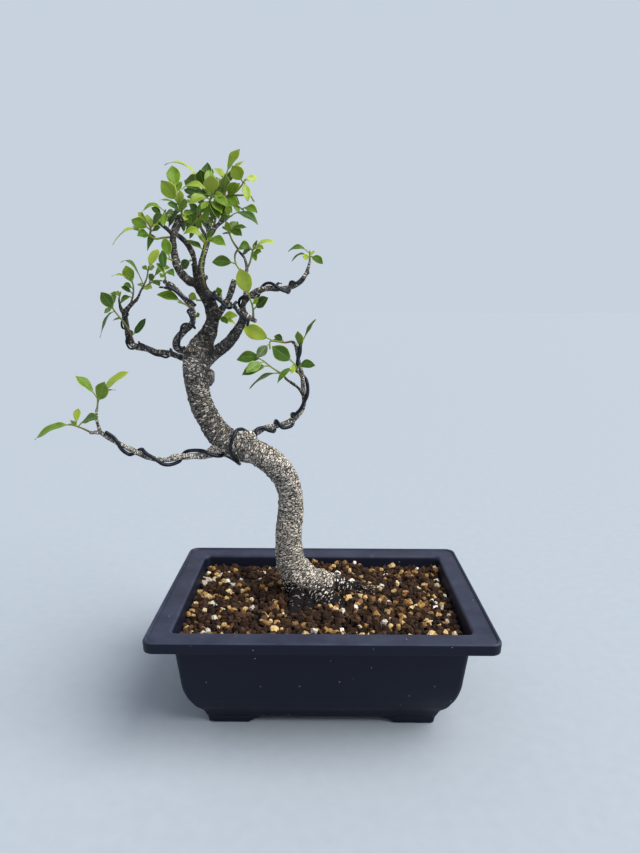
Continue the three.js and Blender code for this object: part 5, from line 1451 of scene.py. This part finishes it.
@dataclass
class Wood:
    """The trunk, its root flare and all branches, in one bark skin."""

    finish: FicusBark = FicusBark()

    # The skin, and the samples that find the nearest limb
    growth: float = 0.1
    ring_step: float = 1.2
    bar_sides: int = 28
    voxel: float = 0.78
    eased: float = 0.5
    ease_rounds: int = 2
    sample_step: float = 1.5
    batch: int = 4000
    limb_run: float = 37

    # Swellings: limbs thinner than swollen_below have them, in full where they are swollen_over thinner
    swelling: float = 0.16
    swelling_length: float = 4.2
    swelling_seed: int = 5
    swollen_below: float = 6
    swollen_over: float = 4

    # Relief: each layer's height and its size round and along a limb, all greater near the soil
    lumps: tuple[float, tuple[float, float, float]] = (0.6, (9, 9, 11))
    ridges: tuple[float, tuple[float, float, float]] = (0.5, (4.5, 4.5, 2.3))
    grit: tuple[float, tuple[float, float, float]] = (0.3, (1.9, 1.9, 1.3))
    full_relief: float = 8.5
    least_relief: float = 0.24
    rugged_below: tuple[float, float] = (88, 100)
    rugged: float = 1.5

    # Damp: full below the lower height and none above the upper, with an edge that sways by (size, seed)
    damp_heights: tuple[float, float] = (83, 111)
    damp_sway: float = 5
    damp_sways: tuple[tuple[float, int], ...] = ((6, 4), (2.2, 6))

    # Knots: the widths are shares of a knot's radius
    callus_width: float = 0.35
    sink_width: float = 0.6
    bare_width: float = 0.55
    hollow_shade_width: float = 0.9
    knots: tuple[Knot, ...] = (
        Knot((-100.7, -6.2, 247.4), 3.6, 0.9, 1.1, 0.2),
        Knot((-64.2, -8, 231.9), 3.6, 0.6, 0.8, 1.15),
        # A sunken hollow, darkened as painted shade.
        Knot((33, 15, 83), 7.0, 0.3, 3.0, 0.0, 1.5),
    )

    def __post_init__(self) -> None:
        """Makes the limbs' paths and samples them for finding the nearest one."""
        self.paths = {name: Path(limb.line) for name, limb in LIMBS.items()}
        centres, radii, ways, fronts, runs, tones = [], [], [], [], [], []
        for number, (name, path) in enumerate(self.paths.items()):
            shares = np.linspace(0, 1, max(3, round(path.length / self.sample_step)))
            centre = path.at(shares)
            centres.append(centre)
            radii.append(path.radius(shares))
            ways.append(path.along(shares))
            fronts.append(carried_frames(centre)[0])
            runs.append(shares * path.length + self.limb_run * number)
            tones.append(np.interp(shares, *zip(*LIMBS[name].tones)))
        self.centres, self.ways, self.fronts = (np.vstack(rows) for rows in (centres, ways, fronts))
        self.radii, self.runs, self.tones = (np.concatenate(rows) for rows in (radii, runs, tones))

    def nearest(self, points: Array) -> tuple[Array, Array]:
        """Finds the limb that each point is nearest to.

        Args:
            points: The points.

        Returns:
            The number of the sample on that limb, and the distance from its bark, negative inside.
        """
        number = np.empty(len(points), int)
        distance = np.empty(len(points))
        for part in np.array_split(np.arange(len(points)), max(1, len(points) // self.batch)):
            away = np.linalg.norm(points[part, None] - self.centres[None], axis=2) - self.radii
            number[part] = away.argmin(axis=1)
            distance[part] = away.min(axis=1)
        return number, distance

    def core(self) -> bpy.types.Object:
        """All limbs as bars, merged into one even skin and eased where they meet."""
        bars = []
        for path in self.paths.values():
            shares = np.linspace(0, 1, max(4, round(path.length / self.ring_step)))
            radii = path.radius(shares)
            lump = lattice_noise(path.at(shares) / self.swelling_length, self.swelling_seed)
            thin = np.clip((self.swollen_below - radii) / self.swollen_over, 0, 1)
            radii = radii * (1 + self.swelling * thin * lump) + self.growth
            bars.append(tube(path.at(shares), radii, self.bar_sides))
        wood = new_object("bark_trunk_and_branches", gather(bars))
        merge = wood.modifiers.new("merge", "REMESH")
        merge.mode, merge.voxel_size = "VOXEL", self.voxel * MM
        ease_in = wood.modifiers.new("ease", "SMOOTH")
        ease_in.factor, ease_in.iterations = self.eased, self.ease_rounds
        return settled(wood)

    def relief(self, line: Array, radii: Array) -> Array:
        """How far the bark stands out at straightened places.

        Broad lumps, then ridges and furrows that run across the limb, all smaller on thin limbs.

        Args:
            line: Places round and along the limbs.
            radii: The limbs' radii there.

        Returns:
            The height at each place.
        """
        layers = enumerate((self.lumps, self.ridges, self.grit), 1)
        scale = np.clip(radii / self.full_relief, self.least_relief, 1)
        return scale * sum(height * lattice_noise(line / size, seed) for seed, (height, size) in layers)

    def build(self) -> None:
        """Makes the bark skin with its relief, knots and point values."""
        wood = self.core()
        mesh = wood.data
        count = len(mesh.vertices)
        raw, normals = np.empty(count * 3, np.float32), np.empty(count * 3, np.float32)
        mesh.vertices.foreach_get("co", raw)
        mesh.vertex_normals.foreach_get("vector", normals)
        points = raw.reshape(-1, 3).astype(float) / MM - POT_MIDDLE
        normals = normals.reshape(-1, 3).astype(float)
        number, _ = self.nearest(points)
        off = points - self.centres[number]
        way, front = self.ways[number], self.fronts[number]
        run = (off * way).sum(axis=1)
        line = np.column_stack([(off * front).sum(axis=1), (off * np.cross(way, front)).sum(axis=1),
                                self.runs[number] + run])
        low = 1 - ease((points[:, 2] - self.rugged_below[0]) / np.ptp(self.rugged_below))
        height = self.relief(line, self.radii[number]) * (1 + self.rugged * low)
        scar, hollow_shade = np.zeros(count), np.zeros(count)
        for knot in self.knots:
            away = np.linalg.norm(points - knot.place, axis=1) / knot.radius
            ring = knot.callus * np.exp(-((away - 1) / self.callus_width) ** 2)
            height += ring - knot.sink * np.exp(-(away / self.sink_width) ** 2)
            scar = np.maximum(scar, knot.bare * np.exp(-(away / self.bare_width) ** 2))
            # Painted shade: the knot's sunken middle is darkened through the damp mask.
            hollow_shade = np.maximum(hollow_shade, knot.dark * np.exp(-(away / self.hollow_shade_width) ** 4))
        points += normals * height[:, None]
        mesh.vertices.foreach_set("co", ((points + POT_MIDDLE) * MM).astype(np.float32).ravel())
        low, high = self.damp_heights
        edge = points[:, 2].copy()
        for size, seed in self.damp_sways:
            edge += self.damp_sway * lattice_noise(points / size, seed)
        values = {"bark_line": line, "bark_tone": self.tones[number], "bark_scar": scar,
                  "bark_damp_and_shade": np.maximum(hollow_shade, 1 - ease((edge - low) / (high - low)))}
        keep_values(mesh, values)
        dress(wood, self.finish.build(), "bark", "trunk_and_branches")


@dataclass
class FineRoots:
    """Thin bare roots that run out over the grains beside the flare."""

    finish: FicusBark = FicusBark()
    radii: tuple[float, float] = (0.55, 0.28)
    sides: int = 6
    finer: int = 6
    tone: float = 0.6
    damp_and_shade: float = 0.3
    lines: tuple[Line, ...] = (
        [(33, 22, 87), (37.5, 18, 85.5), (40, 8.7, 83.8)],
        [(36, 20, 85.5), (42, 13, 85.4), (47.5, 4, 84.8), (50.6, 8, 83.8)],
        [(22, 16, 87.5), (28.2, 9, 85.8), (35.7, 13, 84.6)],
        [(35, 24, 86), (38.6, 16, 85.8), (38.4, 4, 83.8)],
        [(26, 28, 87), (34, 30, 85.8), (40, 27, 84.2)],
        [(38, 17, 85), (48, 15, 86), (54, 13.7, 84.6)],
        [(37, 19, 85.5), (45, 21, 86.2), (51, 23, 84.4)],
        [(27, 8, 84), (35, 2, 85.4), (41, 0, 83.6)],
        [(31, 12, 85.5), (36, 5, 86), (36.5, -3, 83.8)],
    )

    def build(self) -> None:
        """Makes the roots, each a bar that thins to its end, with the bark's point values."""
        bars = []
        for line in self.lines:
            points = np.array(line, float)
            centres = smooth_line(points, np.linspace(0, 1, (len(points) - 1) * self.finer + 1))
            bar = tube(centres, np.linspace(*self.radii, len(centres)), self.sides)
            count = len(bar.points)
            bar.values = {"bark_line": bar.points, "bark_tone": np.full(count, self.tone),
                          "bark_damp_and_shade": np.full(count, self.damp_and_shade), "bark_scar": np.zeros(count)}
            bars.append(bar)
        dress(new_object("fine_roots", gather(bars)), self.finish.build(), "bark")


@dataclass
class TrainingWires:
    """The anodised wires, wound on their limbs just clear of the bark."""

    wood: Wood
    finish: AnodisedWire = AnodisedWire()
    wind_angle: float = 46
    wind_length: float = 9
    clearance: float = 0.65
    end_share: float = 0.7
    sides: int = 14
    finer: int = 6

    def wound(self, winding: Winding, radius: float) -> Array:
        """Points of a winding: turned round the limb by even steps, at the wire's distance from its middle.

        Args:
            winding: The winding.
            radius: The wire's radius.

        Returns:
            The points.
        """
        path = self.wood.paths[winding.limb]
        rows = [winding.turns[0], *winding.turns]
        shares, angles = [], []
        for (before, turned), (share, angle) in zip(rows, rows[1:]):
            reach = abs(share - before) * path.length
            count = math.ceil(max(1, abs(angle - turned) / self.wind_angle, reach / self.wind_length))
            part = np.arange(1, count + 1) / count
            shares.append(before + (share - before) * part)
            angles.append(np.radians(turned + (angle - turned) * part))
        share, angle = np.concatenate(shares), np.concatenate(angles)
        front, side = path.facing(share)
        reach = path.radius(share) + self.clearance + radius
        spoke = front * np.cos(angle)[:, None] + side * np.sin(angle)[:, None]
        return path.at(share) + spoke * reach[:, None]

    def build(self) -> None:
        """Makes each wire: a bar along its line, with its ends rounded over."""
        material = self.finish.build()
        for name, (radius, legs) in WIRES.items():
            points = np.vstack([
                self.wound(leg, radius) if isinstance(leg, Winding) else leg.line for leg in legs])
            centres = smooth_line(points, np.linspace(0, 1, (len(points) - 1) * self.finer + 1))
            radii = np.full(len(centres), radius)
            radii[[0, -1]] *= self.end_share
            dress(new_object(f"anodised_{name}", tube(centres, radii, self.sides)), material, "wire", name)


@dataclass
class Foliage:
    """The leafy sprays: each one is its shoots with their leaves, in one skin."""

    finish: FicusLeaf = FicusLeaf()
    seed: int = 3

    # Leaves: the stalk is a share of the length, and fold and wave are shares of the width
    stalk_share: float = 0.2
    stalk_radius: float = 0.5
    blade_thick: float = 0.42
    fullness: float = 0.6
    tip_taper: float = 0.4
    rib_taper: float = 5
    least_rib: float = 0.12
    under_below: float = -0.1
    stalk_fade: float = 9
    fold: float = 0.2
    wave: float = 0.05
    waves: float = 1.6
    tone_spread: float = 0.06
    least_half_width: float = 0.02
    least_half_thickness: float = 0.01
    stalk_rows: int = 5
    blade_rows: int = 15
    around: int = 16

    # Shoots, with the bud's rings as (distance past the end, radius)
    stem_sides: int = 8
    stem_step: float = 1.5
    stem_foot: float = 1.1
    stem_taper: float = 0.3
    woody_length: float = 18
    wood_fade: float = 1.3
    bud: tuple[tuple[float, float], ...] = ((0.8, 0.75), (1.9, 0.5), (2.8, 0.08))

    def leaf(self, leaf: Leaf, foot: Array, draw: np.random.Generator) -> Surface:
        """One leaf, stalk and blade in one closed skin.

        Rings stand along a bowed spine. Over the stalk they are round. Over the blade a ring is a flat
        lens, as wide as sin(pi b)^(0.6 + 0.4 b) of the leaf's half width at the share b of the blade,
        folded up a little on both sides of the midrib and waved along its edge.

        Args:
            leaf: The leaf.
            foot: Where its stalk starts.
            draw: The random draws.

        Returns:
            The skin with its point values.
        """
        yaw, lift, roll = np.radians([leaf.heading, leaf.rise, leaf.face])
        along = np.array([np.cos(lift) * np.cos(yaw), np.cos(lift) * np.sin(yaw), np.sin(lift)])
        normal = np.cos(roll) * UP + np.sin(roll) * FRONT
        normal = unit(normal - along * (normal @ along))
        across = np.cross(normal, along)
        blade = (1 - np.cos(np.linspace(0, np.pi, self.blade_rows))) / 2
        shares = np.concatenate([
            np.linspace(0, self.stalk_share, self.stalk_rows)[:-1],
            self.stalk_share + (1 - self.stalk_share) * blade,
        ])
        run = np.clip((shares - self.stalk_share) / (1 - self.stalk_share), 0, 1)
        on_blade = shares > self.stalk_share
        spread = np.where(on_blade, np.sin(np.pi * run) ** (self.fullness + self.tip_taper * run), 0)
        rib = np.clip(1 - self.rib_taper * run, self.least_rib, 1)
        stalk = self.stalk_radius * np.where(on_blade, rib, 1)
        half = np.maximum(leaf.width / 2 * spread, stalk * (1 - run) + self.least_half_width)
        thick = np.maximum(self.blade_thick / 2 * (1 - run ** 4), stalk * (1 - run))
        thick = thick + self.least_half_thickness
        angle = np.arange(self.around) * 2 * np.pi / self.around
        side, over = np.cos(angle), np.sin(angle)
        folded = half * np.where(on_blade, ease(run * 4), 0)
        lift_out = self.fold * (np.abs(side) - 0.5)[None] * folded[:, None]
        ripple = np.sin(2 * np.pi * (self.waves * run[:, None] + draw.uniform()) + np.pi * (side > 0))
        waved = ease(run * 3)[:, None] * on_blade[:, None]
        lift_out += self.wave * leaf.width * (side ** 2) * ripple * waved
        spine = (foot + along * (shares * leaf.length)[:, None]
                 + UP * (leaf.arch * leaf.length * 4 * shares * (1 - shares))[:, None])
        points = (spine[:, None] + across * (half[:, None] * side)[..., None]
                  + normal * (lift_out + thick[:, None] * over)[..., None])
        rows = len(shares)
        # The tone stands for the leaf's age and for painted shade and light, with a small random spread.
        age_and_shade = np.clip(leaf.tone.value + draw.uniform(-self.tone_spread, self.tone_spread), 0, 1)
        values = {
            "blade_run": np.repeat(run, self.around),
            "blade_side": np.tile(side, rows),
            "leaf_age_and_shade": np.full(rows * self.around, age_and_shade),
            "leaf_under": np.tile((over < self.under_below) * 1.0, rows),
            "stalk": np.repeat(1 - ease(run * self.stalk_fade), self.around),
            "stalk_wood": np.zeros(rows * self.around),
        }
        return Surface(points.reshape(-1, 3), ring_faces(rows, self.around), values)

    def shoot(self, path: Path, woody: float) -> Surface:
        """A shoot with a pointed bud at its end, brown at its foot and green at its tip.

        Args:
            path: Its line.
            woody: How brown its foot is.

        Returns:
            The skin with its point values.
        """
        shares = np.linspace(0, 1, max(4, round(path.length / self.stem_step)))
        centres = path.at(shares)
        bud_places, bud_radii = np.array(self.bud).T
        tip = centres[-1] + path.along([1.0])[0] * bud_places[:, None]
        radii = np.concatenate([STEM_RADIUS * (self.stem_foot - self.stem_taper * shares), bud_radii])
        bar = tube(np.vstack([centres, tip]), radii, self.stem_sides)
        count = len(bar.points)
        share = np.repeat(np.concatenate([shares, np.ones(len(self.bud))]), self.stem_sides)
        bar.values = {key: np.zeros(count) for key in ("blade_run", "blade_side", "leaf_age_and_shade", "leaf_under")}
        bar.values |= {"stalk": np.ones(count), "stalk_wood": woody * (1 - ease(share * self.wood_fade))}
        return bar

    def build(self) -> None:
        """Makes each spray."""
        material = self.finish.build()
        draw = np.random.default_rng(self.seed)
        for name, stems in SPRAYS.items():
            skins = []
            for stem in stems:
                path = Path(stem.line)
                skins.append(self.shoot(path, min(1.0, path.length / self.woody_length)))
                leaves = [Leaf(*row) for row in stem.leaves]
                feet = path.at([leaf.share for leaf in leaves]) if leaves else []
                skins += [self.leaf(leaf, foot, draw) for leaf, foot in zip(leaves, feet)]
            dress(new_object(f"leafy_{name}", gather(skins)), material, "foliage", name)


@dataclass
class Studio:
    """The pale floor, the soft light and the camera. Places are from the middle of the pot's feet."""

    floor_colours: tuple[str, str] = ("#a1acb9", "#aab5c2")
    floor_cloud_mm: float = 1000 / 90
    sky_colour: str = "#c7d2de"
    light_colour: str = "#e6ebf2"
    light_power: float = 0.64
    sun_colour: str = "#fffaf2"
    sun_power: float = 3.95
    sun_angle: float = 0.95
    sun_way: tuple[float, float, float] = (0.72, -0.22, 0.9)
    sun_distance: float = 60000 / 9
    floor_size: float = 60000
    camera_place: tuple[float, float, float] = (-1.41, -528.31, 337.38)
    pitch: float = -10.74
    yaw: float = -0.11
    roll: float = 0.27
    focal_pixels: float = 644.58
    picture_height: int = 853
    sensor: float = 36
    clip: tuple[float, float] = (0.01, 100)

    def floor(self) -> None:
        """A wide plain floor at the height of the pot's feet."""
        half = self.floor_size / 2
        corners = np.array([(-half, -half, 0), (half, -half, 0), (half, half, 0), (-half, half, 0)], float)
        ground = new_object("studio_floor", Surface(corners, [(0, 1, 2, 3)]))
        material, add, shader = new_material("studio_floor_paint", {"Roughness": 0.75})
        place = add("TexCoord").outputs["Object"]
        cloud = add("TexNoise", {"Vector": place, "Scale": 1 / (self.floor_cloud_mm * MM), "Detail": 3.0})
        darker, paler = self.floor_colours
        colour = add("Mix", {0: cloud, 6: darker, 7: paler}, data_type="RGBA")
        feed(shader, {"Base Color": colour})
        ground.data.materials.append(material)

    def sky(self) -> None:
        """An even pale sky that lights everything softly."""
        world = bpy.data.worlds.new("studio_sky")
        bpy.context.scene.world = world
        world.use_nodes = True
        world.node_tree.nodes.clear()
        add = partial(add_node, world.node_tree)
        seen = add("Background", {"Color": self.sky_colour, "Strength": 1.0})
        light = add("Background", {"Color": self.light_colour, "Strength": self.light_power})
        both = add("MixShader", {0: add("LightPath").outputs["Is Camera Ray"], 1: light, 2: seen})
        add("OutputWorld", {"Surface": both})

    def sun(self) -> None:
        """The brighter part of an overcast sky: a very wide sun."""
        data = bpy.data.lights.new("overcast_sun", "SUN")
        data.energy, data.angle, data.color = self.sun_power, self.sun_angle, linear(self.sun_colour)[:3]
        lamp = bpy.data.objects.new("overcast_sun", data)
        bpy.context.scene.collection.objects.link(lamp)
        back = unit(np.array(self.sun_way))
        right = unit(np.cross(UP, back))
        turn = np.column_stack([right, np.cross(back, right), back])
        lamp.matrix_world = placed(turn, back * self.sun_distance)

    def camera(self) -> None:
        """The camera at the photograph's place, tilted down and turned a little."""
        pitch, yaw, roll = np.radians([self.pitch, self.yaw, self.roll])
        ahead = np.array([np.sin(yaw) * np.cos(pitch), np.cos(yaw) * np.cos(pitch), np.sin(pitch)])
        right = np.array([np.cos(yaw), -np.sin(yaw), 0])
        up = np.cross(right, ahead)
        right, up = right * np.cos(roll) + up * np.sin(roll), up * np.cos(roll) - right * np.sin(roll)
        data = bpy.data.cameras.new("camera")
        data.sensor_width = self.sensor
        data.lens = self.focal_pixels / self.picture_height * self.sensor
        data.clip_start, data.clip_end = self.clip
        camera = bpy.data.objects.new("camera", data)
        bpy.context.scene.collection.objects.link(camera)
        camera.matrix_world = placed(np.column_stack([right, up, -ahead]), np.array(self.camera_place))
        bpy.context.scene.camera = camera

    def build(self) -> None:
        """Makes the studio."""
        bpy.context.scene.view_settings.view_transform = "Standard"
        self.floor()
        self.sky()
        self.sun()
        self.camera()


def placed(turn: Array, place: Array) -> Matrix:
    """A turn and a place, in millimetres from the pot's middle, as an object's matrix in metres."""
    matrix = np.eye(4)
    matrix[:3, :3] = turn
    matrix[:3, 3] = (place + POT_MIDDLE) * MM
    return Matrix(matrix.tolist())


def main() -> None:
    """Builds the studio and every sub-assembly."""
    logging.basicConfig(level=logging.INFO, format="%(message)s")
    Studio().build()
    pot = TrainingPot()
    wood = Wood()
    pot.build()
    DrainMeshes().build()
    SoilMix(pot, wood).build()
    wood.build()
    FineRoots(wood.finish).build()
    TrainingWires(wood).build()
    Foliage().build()


if __name__ == "__main__":
    main()
